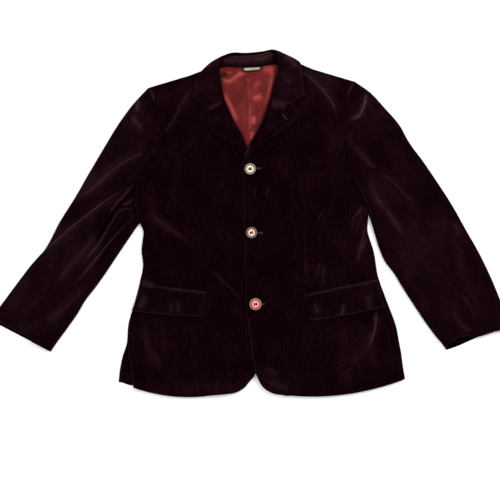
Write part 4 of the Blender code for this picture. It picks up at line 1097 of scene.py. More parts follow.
def lapel_points(side):
    """Upper face of a lapel, in rows from the break to the gorge, from the roll to the edge."""
    table, break_height = LAPELS[side]
    face = front_faces[side]
    last = len(table) - 1
    numbers = np.concatenate(((0.0, 0.006, 0.02, 0.04, 0.07), np.linspace(0.1, last - 0.07, 62),
                              last - np.array((0.04, 0.02, 0.01, 0.004, 0.0))))
    rows = Path(table, reach=4).at_row(numbers)
    strips = np.concatenate((np.linspace(0.0, 0.96, 24), (0.972, 0.983, 0.991, 0.997, 1.0)))
    point = np.array(table[-1][2:4], dtype=float)
    end_roll = np.array(table[-1][0:2], dtype=float)
    points = []
    for number, row in zip(numbers, rows):
        roll = row[0:2]
        edge = row[2:4]
        reach = np.linalg.norm(edge - roll)
        fullness = min(1.0, reach / LAPEL_FULL_WIDTH)
        share, drop = roll_section(reach, LAPEL_ROLL_TURN * fullness, strips)
        flat = roll + (edge - roll) * share[:, None]
        bend = ease((number / last - 1.0) / LAPEL_TURN + 1.0)
        straight = end_roll + (point - end_roll) * share[:, None]
        flat = flat + (gorge_line(side, point, LAPEL_NOTCH_SHARE, share) - straight) * bend
        flat[:, 1] += GORGE_PRESS * bend
        crest = LAPEL_CREST * fullness * (1.0 - ease(share))
        rest = np.array([face.height(x, y, break_height) for x, y in flat])
        height = rest + LAPEL_GAP + COLLAR_WALL + crest - drop * fullness
        points.append(np.column_stack((flat, height)))
    points = np.array(points)
    rise, glow = crease_shape(LAPEL_CREASES, points[..., 0], points[..., 1])
    points[..., 2] += rise
    # Painted highlight along the lapel's edges, fading out towards the break, and painted light over the
    # whole lapel.
    rim = rim_light(points, LAPEL_RIM_WIDTH, LAPEL_RIM[side]) * ease(numbers / LAPEL_RIM_START)[:, None]
    return points, glow + rim + LAPEL_LIGHT[side]


lapel_faces = {}
for side in ("right", "left"):
    lapel, lapel_light = lapel_points(side)
    sew("lapel_" + side, lapel, COLLAR_WALL, VELVET, light=lapel_light)
    lapel_faces[side] = Surface(lapel)

# Collar and stand
# The fall of the collar rolls over at the neck and lies on the shoulders; its leaves meet the lapels at
# the gorge. The stand inside holds it up and is seamed to the back neck.
CollarRow = namedtuple("CollarRow", "fold_x fold_y fold_z bulge_x bulge_y bulge_z edge_x edge_y edge_z")
StandRow = namedtuple("StandRow", "base_x base_y base_z top_x top_y top_z")
LAY_GAP = 0.8
LEAF_TURN = 0.14
LEAF_NOTCH_SHARE = 0.62
# Painted highlight along the outer edge of the fall and painted light over it; painted light over the stand,
# lighter towards its top.
FALL_RIM = 0.22
FALL_RIM_WIDTH = 1.8
FALL_ROLL_TURN = 50.0
FALL_CLEAR = 0.4
FALL_SETTLE = 1.2
FALL_LIGHT = 0.03
NO_CLOTH = -20.0
STAND_BOW = 1.2
STAND_LIGHT = -0.01
STAND_TOP_LIGHT = 0.30
COLLAR = [
    CollarRow(-61.5, 281, 16.8, -97, 281, 16.0, -130, 282, 9.0),
    CollarRow(-67, 314, 18.6, -98, 312, 18.4, -127, 307, 10.0),
    CollarRow(-71, 341, 20.2, -104, 348, 20.6, -119, 336, 10.0),
    CollarRow(-71, 357, 20.8, -98, 364, 18.6, -104, 350, 3.0),
    CollarRow(-62, 369, 20.8, -76, 380, 14.0, -80, 361, 1.6),
    CollarRow(-44, 378.5, 20.0, -50, 391.5, 10.0, -53, 364, 0.6),
    CollarRow(-10, 379, 19.5, -10, 392, 8.0, -10, 364, 0.6),
    CollarRow(24, 382.5, 19.5, 25, 395, 8.0, 24, 368, 0.6),
    CollarRow(45, 386.5, 20.0, 56, 398, 11.0, 54, 374, 0.8),
    CollarRow(57, 377, 20.8, 82, 384, 15.0, 84, 375, 1.8),
    CollarRow(60, 360, 20.8, 93, 374, 19.4, 109, 364, 3.6),
    CollarRow(57, 336, 19.8, 92, 346, 20.0, 112, 342, 12.5),
    CollarRow(51, 309, 18.2, 84, 312, 18.0, 116, 309, 10.0),
    CollarRow(44, 282, 16.8, 82, 284, 16.0, 119, 285, 9.0),
]
STAND = [
    StandRow(-72.5, 318, 10.6, -71, 330, 16.8),
    StandRow(-74, 337, 8.0, -70.8, 349, 16.6),
    StandRow(-70, 349, 7.6, -66.8, 362, 17.2),
    StandRow(-58, 352, 7.4, -56, 371.5, 16.2),
    StandRow(-34, 352, 7.4, -33, 376, 15.6),
    StandRow(-8, 352.5, 7.4, -8, 377, 15.2),
    StandRow(20, 354, 7.4, 20, 380.5, 15.2),
    StandRow(42, 357, 6.4, 41, 384.5, 15.8),
    StandRow(56, 356.5, 6.4, 55.6, 374, 17.2),
    StandRow(61, 341, 7.6, 59, 355, 16.6),
    StandRow(59, 322, 10.6, 57.8, 333, 16.8),
]
# The stand's painted sheen colour, browner than on the rest of the velvet, and painted shadow at both ends of
# the stand under the collar leaves.
STAND_PAINTED_SHEEN = (0.060, 0.026, 0.027)
STAND_PATCHES = [
    Patch(56, 370, 6, 16, -1.1),
    Patch(-70, 356, 5, 12, -0.6),
]
# Creases of the fall and the stand, with painted highlights along them.
COLLAR_CREASES = [
    Crease(((66, 342), (80, 326), (92, 312)), 8, 8, 0.7, 0.02, 0.05, 10),
    Crease(((-98, 330), (-94, 314), (-92, 296)), 8, 8, 0.6, 0.0, 0.04, 10),
    Crease(((72, 378), (90, 364), (104, 350)), 7, 7, 0.5, 0.06, 0.22, 9),
    Crease(((-104, 350), (-92, 362), (-78, 374)), 7, 7, 0.5, 0.06, 0.20, 9),
]
STAND_CREASES = [
    Crease(((-60, 362), (-5, 366), (50, 371)), 4, 5, 0.8, 0.05, 0.10, 6),
    Crease(((8, 366), (30, 372), (50, 380)), 4, 4, 0.5, 0.10, 0.06, 4),
]


def unrolled(points):
    """Lengths along and across a panel that is bent, for its threads."""
    along = np.linalg.norm(np.diff(points, axis=0), axis=2).mean(axis=1)
    across = np.linalg.norm(np.diff(points, axis=1), axis=2)
    along = np.concatenate(([0.0], np.cumsum(along)))
    across = np.hstack((np.zeros((len(points), 1)), np.cumsum(across, axis=1)))
    return np.dstack((np.tile(along[:, None], (1, points.shape[1])), across))


def collar_points():
    """Upper face of the fall, from the right leaf round the neck to the left leaf."""
    last = len(COLLAR) - 1.0
    ends = np.array((0.0, 0.006, 0.018, 0.04, 0.07))
    numbers = np.concatenate((ends, np.linspace(0.1, last - 0.1, 170), last - ends[::-1]))
    rows = Path(COLLAR, reach=9).at_row(numbers)
    strips = np.concatenate((np.linspace(0.0, 0.96, 26), (0.972, 0.983, 0.991, 0.997, 1.0)))
    points = []
    for number, row in zip(numbers, rows):
        fold, bulge, edge = row[0:3], row[3:6], row[6:9]
        share, drop = roll_section(np.linalg.norm(bulge[:2] - fold[:2]), FALL_ROLL_TURN, strips)
        part = share[:, None]
        section = fold * (1 - part) ** 2 + bulge * 2 * part * (1 - part) + edge * part ** 2
        place = number / last
        side = "right" if place < 0.5 else "left"
        bend = 1.0 - ease(min(place, 1.0 - place) / LEAF_TURN)
        end_row = COLLAR[0] if side == "right" else COLLAR[-1]
        end_fold, end_bulge, end_edge = (np.array(end_row[start:start + 2]) for start in (0, 3, 6))
        plain = end_fold * (1 - part) ** 2 + end_bulge * 2 * part * (1 - part) + end_edge * part ** 2
        section[:, :2] += (gorge_line(side, end_edge, LEAF_NOTCH_SHARE, share) - plain) * bend
        section[:, 1] -= GORGE_PRESS * bend
        for index, (x, y, z) in enumerate(section):
            rest = front_faces[side].height(x, y, NO_CLOTH) + LAY_GAP + COLLAR_WALL + FALL_CLEAR
            section[index, 2] = (z + rest + np.hypot(z - rest, FALL_SETTLE)) / 2.0
        section[:, 2] -= drop
        points.append(section)
    points = np.array(points)
    rise, glow = crease_shape(COLLAR_CREASES, points[..., 0], points[..., 1])
    points[..., 2] += rise
    # Painted highlight along the outer edge of the fall.
    across = unrolled(points)[..., 1]
    rim = FALL_RIM * np.exp(-(((across[:, -1:] - across) / FALL_RIM_WIDTH) ** 2))
    return points, glow + rim + FALL_LIGHT


def stand_points():
    """Inner face of the stand, from the neck seam up to the fold of the collar."""
    rows = Path(STAND, reach=6).at_row(np.linspace(0.0, len(STAND) - 1.0, 90))
    share = np.concatenate(((0.0, 0.01, 0.03, 0.06), np.linspace(0.1, 0.9, 20), (0.94, 0.97, 0.99, 1.0)))
    points = rows[:, None, 0:3] + (rows[:, None, 3:6] - rows[:, None, 0:3]) * share[None, :, None]
    points[..., 2] += STAND_BOW * np.sin(np.pi * share)[None, :]
    rise, glow = crease_shape(STAND_CREASES, points[..., 0], points[..., 1])
    points[..., 2] += rise
    # Painted shadow at the ends of the stand, and painted light that grows towards its top.
    shade = patch_light(STAND_PATCHES, points[..., 0], points[..., 1])
    return points, glow + shade + STAND_LIGHT + STAND_TOP_LIGHT * share[None, :]


collar, collar_light = collar_points()
sew("collar", collar, COLLAR_WALL, VELVET,
    unrolled(collar), collar_light)
neck_stand, stand_light = stand_points()
stand_velvet = velvet_finish("stand_velvet", STAND_PAINTED_SHEEN)
sew("collar_stand", neck_stand, COLLAR_WALL, stand_velvet,
    unrolled(neck_stand), stand_light)

# Lining
# Red satin, sewn to the back neck and pleated down the middle; it shows only in the open neck.
LINING_WALL = 1.0
LINING_LOW = 2.9
LINING_TOP_LIFT = 9.0
LINING_TOP_Y = 366.0
LINING_BOTTOM_Y = 128.0
LINING_MARGIN = 16.0
LINING_TOP_SHY = 6.0
LINING_TOP_REACH = 0.3
LINING_CALM = 0.4
LINING_EDGE = 0.12
LINING_SEAM = 0.05
LINING_FOOT = 0.15
LINING_DEEPEST = -0.9
LINING_FOLDS = [
    Fold(-8, 310, -6, 160, -3, 14, 2.2),
    Fold(-60, 320, -30, 190, 6, 15, 1.6),
    Fold(30, 310, 12, 180, 0, 15, 1.8),
]
# Folds of the lining with painted highlights on their crests and flanks, painted shade in the pleat and the
# deep fold at the top, and a painted shadow down the edge under the left collar leaf and lapel.
LINING_CREASES = [
    Crease(((-18, 346), (-13, 309), (-11.5, 287), (-11, 260), (-10.5, 220), (-9, 190)),
           5, 1.6, 1.2, -0.45, 0.0, 4),
    Crease(((-3.5, 268), (-3.5, 240), (-4, 210)), 3, 3, 0.5, 0.30, 0.0, 4),
    Crease(((-67, 343), (-58, 346), (-46, 344)), 4, 3, -0.6, -0.85, 0.0, 4),
    Crease(((-64, 340), (-54, 341), (-44, 338)), 4, 3, 1.0, 0.20, 0.25, 4),
    Crease(((-74, 333), (-65, 335), (-54, 338)), 4, 4, -1.6, -1.20, -1.40, 4.6),
    Crease(((-68, 328), (-60, 321), (-50, 320), (-41, 325), (-34, 331), (-22, 337)),
           6, 4, 1.8, 0.15, 0.50, 5),
    Crease(((-30, 342), (-22, 337), (-14, 339)), 4, 4, 0.6, 0.15, 0.40, 5),
    Crease(((-12, 331), (0, 332), (16, 330)), 5, 5, -0.5, 0.0, -0.30, 7),
    Crease(((4, 304), (12, 313), (19, 321)), 6, 5, 0.8, 0.0, 0.26, 5),
    Crease(((-10, 318), (-4, 328), (4, 334)), 6, 5, 0.6, 0.0, 0.25, 5),
    Crease(((3, 278), (12, 284), (24, 286)), 6, 6, 1.0, 0.0, 0.55, 6),
    Crease(((4, 256), (11, 258), (16, 250)), 7, 7, -0.8, 0.0, -0.40, 8),
    Crease(((20, 252), (26, 244), (22, 232)), 5, 5, -0.5, 0.0, -0.35, 5),
    Crease(((2, 242), (4, 234), (2, 222)), 5, 4, 1.4, 0.10, 0.60, 5),
    Crease(((1, 206), (1, 198), (-1, 188)), 5, 4, 1.2, 0.10, 0.50, 4),
    Crease(((46, 348), (46, 326), (42, 300), (38, 274), (30, 252)), 7, 6, 1.3, 0.0, 0.42, 6),
    Crease(((33, 330), (42, 329), (52, 328)), 4, 3, -0.5, -0.30, 0.0, 4),
    Crease(((-60, 298), (-56, 279), (-49, 267), (-42, 250), (-32, 226)), 7, 6, 1.2, 0.0, 0.60, 5),
    Crease(((26, 346), (38, 347), (50, 345)), 6, 5, 0.8, 0.0, 0.40, 7),
    Crease(((58, 356), (55, 334), (49, 309), (42, 282), (35, 262), (28, 240), (16, 214), (1, 190)), 3, 3, 0.0,
           -0.8, -0.5, 3.6),
    Crease(((-36, 312), (-32, 290), (-28, 262)), 9, 9, 0.6, 0.0, -0.16, 14),
]
# Satin colours: painted shade, the dye from deep to body, painted highlight.
SATIN_SHADE = (0.014, 0.0006, 0.0006)
SATIN_DEEP = (0.060, 0.0042, 0.0046)
SATIN_BODY = (0.130, 0.0105, 0.0104)
SATIN_LIT = (0.42, 0.070, 0.062)
SATIN_TINT = (1.0, 0.34, 0.32, 1.0)
SATIN_ROUGHNESS = 0.34
SATIN_ROUGHER = 0.12
SATIN_THREADS = Streak(2600.0, 60.0, 0.3, 0.7, 0.25)
SATIN_DYE = Streak(40.0, 22.0, 0.3, 0.7, 0.75)


def satin_finish():
    """Woven satin: fine threads, slightly uneven dye, a soft gloss across the threads, and painted highlights
    and shade.
    """
    material = bpy.data.materials.new("lining_satin")
    material.use_nodes = True
    tree = material.node_tree
    shader = tree.nodes["Principled BSDF"]
    grain = add_node(tree, "ShaderNodeUVMap", uv_map="grain").outputs["UV"]
    threads = streaks(tree, grain, SATIN_THREADS)
    dye = streaks(tree, grain, SATIN_DYE)
    threads_tone = weigh(tree, "MULTIPLY", threads, SATIN_THREADS.share)
    tone = weigh(tree, "ADD", threads_tone, weigh(tree, "MULTIPLY", dye, SATIN_DYE.share))
    light = add_node(tree, "ShaderNodeAttribute", attribute_name="light").outputs["Fac"]
    # Painted highlight where the light attribute is above 0, painted shade where it is below 0.
    lit = add_node(tree, "ShaderNodeClamp")
    tree.links.new(light, lit.inputs["Value"])
    shade = add_node(tree, "ShaderNodeClamp")
    tree.links.new(weigh(tree, "MULTIPLY", light, -1.0), shade.inputs["Value"])
    dye_and_painted_light = blend_color(tree, tone, SATIN_DEEP, SATIN_BODY)
    dye_and_painted_light = blend_color(tree, lit.outputs["Result"], dye_and_painted_light, SATIN_LIT)
    dye_and_painted_light = blend_color(tree, shade.outputs["Result"], dye_and_painted_light, SATIN_SHADE)
    tree.links.new(dye_and_painted_light, shader.inputs["Base Color"])
    rough = weigh(tree, "ADD", weigh(tree, "MULTIPLY", threads, SATIN_ROUGHER), SATIN_ROUGHNESS)
    tree.links.new(rough, shader.inputs["Roughness"])
    bump = tree.nodes.new("ShaderNodeBump")
    bump.inputs["Strength"].default_value = 0.12
    bump.inputs["Distance"].default_value = 0.0002
    tree.links.new(threads, bump.inputs["Height"])
    tree.links.new(bump.outputs["Normal"], shader.inputs["Normal"])
    shader.inputs["Specular IOR Level"].default_value = 0.32
    shader.inputs["Specular Tint"].default_value = SATIN_TINT
    return material


def lining_points():
    """Upper face of the lining, in rows down from the back neck, and its painted light and shade."""
    down = np.concatenate(((0.0, 0.002, 0.005, 0.01), np.linspace(0.015, 0.99, 110), (0.995, 1.0)))
    level = LINING_TOP_Y + (LINING_BOTTOM_Y - LINING_TOP_Y) * down
    margin = (LINING_MARGIN + LINING_TOP_SHY) * ease(down / LINING_TOP_REACH) - LINING_TOP_SHY
    reach = np.linspace(0.0, 1.0, 200)
    right_line = Path([(place.y, place.x) for place in ROLL_RIGHT[::-1]]).at_share(reach)
    left_line = Path([(place.y, place.x) for place in ROLL_LEFT[::-1]]).at_share(reach)
    right_x = np.interp(-level, -right_line[:, 0], right_line[:, 1]) - margin
    left_x = np.interp(-level, -left_line[:, 0], left_line[:, 1]) + margin
    share = np.concatenate(((0.0, 0.003, 0.008), np.linspace(0.014, 0.986, 90), (0.992, 0.997, 1.0)))
    x = right_x[:, None] + (left_x - right_x)[:, None] * share[None, :]
    neck = Path(BACK_TOP).at_share(reach)
    top = np.minimum(np.interp(x[0], neck[:, 0], neck[:, 1]) + LINING_TOP_LIFT, LINING_TOP_Y)
    y = level[:, None] + (top - level[0])[None, :] * (1.0 - ease(down / LINING_TOP_REACH))[:, None]
    calm = LINING_CALM / 2.0
    free = ease(share / LINING_CALM - calm) * ease((1.0 - share) / LINING_CALM - calm)
    free = free[None, :] * ease((1.0 - down) / LINING_TOP_REACH)[:, None]
    rise, glow = crease_shape(LINING_CREASES, x, y)
    sides = ease(share / LINING_EDGE) * ease((1.0 - share) / LINING_EDGE)
    rise = rise * sides[None, :] * ease(down / LINING_SEAM)[:, None]
    rise = rise * ease((1.0 - down) / LINING_FOOT)[:, None]
    z = LINING_LOW + LINING_WALL + fold_rise(LINING_FOLDS, x, y) * free + np.maximum(rise, LINING_DEEPEST)
    return np.dstack((x, y, z)), glow


lining, lining_light = lining_points()
sew("lining", lining, LINING_WALL, satin_finish(), light=lining_light)
lining_face = Surface(lining)

# Label
# A small black woven label with a plain pale band, tacked under the stand by its upper edge.
LABEL_WALL = 0.8
LABEL_WIDTH = 48.0
LABEL_DEPTH = 13.0
LABEL_CENTRE = Place(1, 349)
LABEL_TURN = 0.05
LABEL_TAPER = 0.24
LABEL_RIBS = Streak(40.0, 900.0, 0.3, 0.7, 0.5)
LABEL_BAND_DEPTH = (0.36, 0.74)
LABEL_BAND_REACH = 0.42
LABEL_BLACK = (0.006, 0.005, 0.005)
LABEL_PALE = (0.42, 0.36, 0.29)


def label_finish():
    """Taffeta label: black ground, pale band where the attribute says, fine ribs across."""
    material = bpy.data.materials.new("label_woven")
    material.use_nodes = True
    tree = material.node_tree
    shader = tree.nodes["Principled BSDF"]
    grain = add_node(tree, "ShaderNodeUVMap", uv_map="grain").outputs["UV"]
    band = add_node(tree, "ShaderNodeAttribute", attribute_name="light").outputs["Fac"]
    ribs = streaks(tree, grain, LABEL_RIBS)
    ribbed = weigh(tree, "ADD", weigh(tree, "MULTIPLY", ribs, LABEL_RIBS.share), 1.0 - LABEL_RIBS.share)
    pale = weigh(tree, "MULTIPLY", band, ribbed)
    tree.links.new(blend_color(tree, pale, LABEL_BLACK, LABEL_PALE), shader.inputs["Base Color"])
    tree.links.new(weigh(tree, "ADD", weigh(tree, "MULTIPLY", ribs, 0.2), 0.6), shader.inputs["Roughness"])
    bump = tree.nodes.new("ShaderNodeBump")
    bump.inputs["Strength"].default_value = 0.3
    bump.inputs["Distance"].default_value = 0.0002
    tree.links.new(ribs, bump.inputs["Height"])
    tree.links.new(bump.outputs["Normal"], shader.inputs["Normal"])
    shader.inputs["Specular IOR Level"].default_value = 0.12
    return material


def label_points():
    """Upper face of the label and its pale band."""
    depth = np.concatenate(((0.0, 0.03, 0.07), np.linspace(0.12, 0.88, 16), (0.93, 0.97, 1.0)))
    across = np.concatenate(((0.0, 0.006, 0.015), np.linspace(0.03, 0.97, 44), (0.985, 0.994, 1.0))) - 0.5
    points = []
    for share in depth:
        narrow = 1.0 - LABEL_TAPER * share
        x = LABEL_CENTRE.x + across * LABEL_WIDTH * narrow
        y = LABEL_CENTRE.y + (0.5 - share) * LABEL_DEPTH + across * LABEL_WIDTH * LABEL_TURN
        points.append([lining_face.lift(px, py, LABEL_WALL + LAY_GAP, LINING_LOW) for px, py in zip(x, y)])
    down_band = (depth > LABEL_BAND_DEPTH[0]) & (depth < LABEL_BAND_DEPTH[1])
    along_band = np.abs(across) < LABEL_BAND_REACH
    return np.array(points), (down_band[:, None] & along_band[None, :]).astype(float)


label, label_band = label_points()
sew("neck_label", label, LABEL_WALL, label_finish(), light=label_band)

# Pocket flaps and welts
# Each flap is faced velvet with a rounded front corner, sewn in under a narrow velvet welt.
Flap = namedtuple("Flap", "side top_in top_out bottom_out bottom_in corner")
FLAP_WALL = 2.2
JET_WALL = 1.8
JET_HEIGHT = 7.0
FLAP_SAG = 2.0
FLAP_LIFT = 0.7
FLAP_STEP = 2.4
# Painted highlight along the flap edges except the top, painted light over the flaps, and painted highlight
# over the welts, strongest along their upper edge.
FLAP_RIM = 0.30
FLAP_RIM_WIDTH = 1.5
FLAP_RIM_START = 0.15
FLAP_LIGHT = 0.01
CORNER_STOPS = np.array((0.0, 0.02, 0.06, 0.12, 0.2, 0.32, 0.48, 0.7, 1.0))
JET_STEP = 3.0
JET_ROW = 0.8
JET_PUFF = 0.5
JET_LIGHT = 0.12
JET_EDGE_LIGHT = 0.12
JET_EDGE_ROWS = 5.0
FLAPS = [
    Flap("right", Place(-104, -160), Place(-248, -143), Place(-267, -197), Place(-108, -209), 11.0),
    Flap("left", Place(118, -167), Place(284, -132), Place(299, -187), Place(131, -219), 9.0),
]
# Creases in the flaps, with painted highlights along them.
FLAP_CREASES = [
    Crease(((207, -179), (204, -196), (199, -211)), 6, 5, 0.7, 0.24, 0.12, 6),
    Crease(((262, -160), (265, -178), (266, -196)), 7, 7, 0.5, 0.05, 0.14, 9),
    Crease(((140, -180), (146, -192), (150, -204)), 7, 7, 0.5, 0.05, 0.12, 8),
    Crease(((-170, -172), (-164, -188), (-166, -202)), 6, 6, 0.5, 0.10, 0.12, 7),
    Crease(((-186, -176), (-180, -192), (-186, -204)), 6, 6, 0.4, 0.08, 0.10, 6),
    Crease(((-238, -160), (-246, -180), (-252, -194)), 7, 7, 0.6, 0.05, 0.16, 9),
]


def flap_points(flap):
    """Upper face of a flap, in rows from its welt to its lower edge."""
    top_in, top_out, bottom_out, bottom_in = (np.array(place, dtype=float) for place in flap[1:5])
    length = np.linalg.norm(top_out - top_in)
    drop = np.linalg.norm(bottom_in - top_in)
    middle = np.linspace(flap.corner, length - RIM_STOPS[-1], 52)[1:]
    across = np.concatenate((CORNER_STOPS * flap.corner, middle, length - RIM_STOPS[-2::-1])) / length
    downs = edged_spread(drop, FLAP_STEP) / drop
    points = []
    for down in downs:
        row = []
        for share in across:
            top = top_in + (top_out - top_in) * share
            bottom = bottom_in + (bottom_out - bottom_in) * share
            bottom = bottom - np.array((0.0, FLAP_SAG * np.sin(np.pi * share)))
            rounding = 1.0 - round_over(share * length / flap.corner)
            shorter = 1.0 - rounding * flap.corner / np.linalg.norm(bottom - top)
            place = top + (bottom - top) * down * shorter
            gap = LAY_GAP + FLAP_WALL + FLAP_LIFT * down
            row.append(front_faces[flap.side].lift(place[0], place[1], gap, CHEST_HEIGHT))
        points.append(row)
    points = np.array(points)
    rise, glow = crease_shape(FLAP_CREASES, points[..., 0], points[..., 1])
    points[..., 2] += rise
    # Painted highlight along the edges of the flap, left off its top, and painted light over the whole flap.
    rim = rim_light(points, FLAP_RIM_WIDTH, FLAP_RIM) * ease(downs / FLAP_RIM_START)[:, None]
    return points, glow + rim + FLAP_LIGHT


def jet_points(flap):
    """Upper face of a welt, a narrow folded strip over the pocket mouth."""
    top_in = np.array(flap.top_in, dtype=float)
    top_out = np.array(flap.top_out, dtype=float)
    length = np.linalg.norm(top_out - top_in)
    across = edged_spread(length, JET_STEP) / length
    points = []
    for rise in SEAM_GAP + JET_HEIGHT - edged_spread(JET_HEIGHT, JET_ROW):
        row = []
        for share in across:
            place = top_in + (top_out - top_in) * share + np.array((0.0, rise))
            puff = JET_PUFF * np.sin(np.pi * (rise - SEAM_GAP) / JET_HEIGHT)
            gap = LAY_GAP + JET_WALL + puff
            row.append(front_faces[flap.side].lift(place[0], place[1], gap, CHEST_HEIGHT))
        points.append(row)
    points = np.array(points)
    # Painted highlight over the welt, strongest along its upper edge.
    upper_edge_highlight = JET_EDGE_LIGHT * np.exp(-((np.arange(len(points)) / JET_EDGE_ROWS) ** 2))
    return points, JET_LIGHT + np.tile(upper_edge_highlight[:, None], (1, points.shape[1]))


for flap in FLAPS:
    cloth, cloth_light = flap_points(flap)
    sew("pocket_flap_" + flap.side, cloth, FLAP_WALL, VELVET, light=cloth_light)
    welt, welt_light = jet_points(flap)
    sew("pocket_jet_" + flap.side, welt, JET_WALL, VELVET, light=welt_light)

# Buttons
# Turned resin buttons with a sunk ring and a raised rim, each dyed a little differently, with four drilled
# holes to sew them on by.
Button = namedtuple("Button", "name x y diameter slot centre ring rim rim_share turn crossed thread")
BUTTON_THICK = 4.6
BUTTON_SEAT = 0.35
BUTTON_HOLE_RADIUS = 1.25
BUTTON_HOLE_OFFSET = 2.25
BUTTON_SHARP_TURN = 38.0
BUTTON_ROUGHNESS = 0.24
BUTTON_ROUGHER = 0.12
BUTTON_CLOUD = Streak(240.0, 150.0, 0.3, 0.7, 0.12)
BUTTON_WELD = 0.000005
BUTTONS = [
    Button("button_top", -3, 122.4, 25.0, "button_cream", (0.88, 0.78, 0.58), (0.105, 0.066, 0.044),
           (0.27, 0.215, 0.18), 0.80, 0.0, True, (0.13, 0.075, 0.020)),
    Button("button_middle", 0, -20.6, 24.8, "button_peach", (0.88, 0.62, 0.49), (0.055, 0.022, 0.017),
           (0.185, 0.115, 0.105), 0.80, 14.0, False, (0.040, 0.009, 0.001)),
    Button("button_bottom", 9, -181, 26.6, "button_coral", (0.86, 0.33, 0.27), (0.14, 0.022, 0.018),
           (0.40, 0.20, 0.19), 0.86, 3.0, False, (0.085, 0.006, 0.002)),
]
# Turned profile: share of the radius, share of the thickness.
BUTTON_PROFILE = [
    (0.00, 0.60), (0.30, 0.61), (0.52, 0.64), (0.59, 0.62), (0.63, 0.50), (0.67, 0.47), (0.71, 0.52),
    (0.75, 0.80), (0.80, 0.94), (0.86, 1.00), (0.92, 0.97), (0.97, 0.84), (1.00, 0.62), (0.995, 0.44),
    (0.96, 0.24), (0.88, 0.08), (0.72, 0.00), (0.00, 0.00),
]
BUTTON_SEGMENTS = 72


def button_finish(row):
    """Polished horn-like resin, paler in the middle, darker in the ring, faintly clouded."""
    material = bpy.data.materials.new(row.name + "_resin")
    material.use_nodes = True
    tree = material.node_tree
    shader = tree.nodes["Principled BSDF"]
    grain = add_node(tree, "ShaderNodeUVMap", uv_map="grain").outputs["UV"]
    radius = add_node(tree, "ShaderNodeAttribute", attribute_name="light").outputs["Fac"]
    cloud = streaks(tree, grain, BUTTON_CLOUD)
    ring = tree.nodes.new("ShaderNodeValToRGB")
    stops = ring.color_ramp.elements
    stops[0].position = 0.60
    stops[0].color = (*row.centre, 1.0)
    stops[1].position = 0.67
    stops[1].color = (*row.ring, 1.0)
    for place, color in ((row.rim_share - 0.05, row.ring), (row.rim_share + 0.02, row.rim)):
        stop = stops.new(place)
        stop.color = (*color, 1.0)
    tree.links.new(radius, ring.inputs["Fac"])
    shade = weigh(tree, "MULTIPLY", cloud, BUTTON_CLOUD.share)
    clouded = blend_color(tree, shade, ring.outputs["Color"], row.rim)
    tree.links.new(clouded, shader.inputs["Base Color"])
    rough = weigh(tree, "ADD", weigh(tree, "MULTIPLY", cloud, BUTTON_ROUGHER), BUTTON_ROUGHNESS)
    tree.links.new(rough, shader.inputs["Roughness"])
    shader.inputs["Specular IOR Level"].default_value = 0.34
    return material


def button_seat(row):
    """Height of the cloth that a button rests on."""
    turn = np.linspace(0.0, 2.0 * np.pi, 24, endpoint=False)
    face = front_faces["left"]
    rim = [face.height(row.x + row.diameter / 2 * np.cos(a), row.y + row.diameter / 2 * np.sin(a), 0.0)
           for a in turn]
    return max(rim + [face.height(row.x, row.y, 0.0)]) + BUTTON_SEAT


def turned(row, x, y):
    """A place on a button, from its own middle and turn."""
    angle = np.radians(row.turn)
    return row.x + x * np.cos(angle) - y * np.sin(angle), row.y + x * np.sin(angle) + y * np.cos(angle)


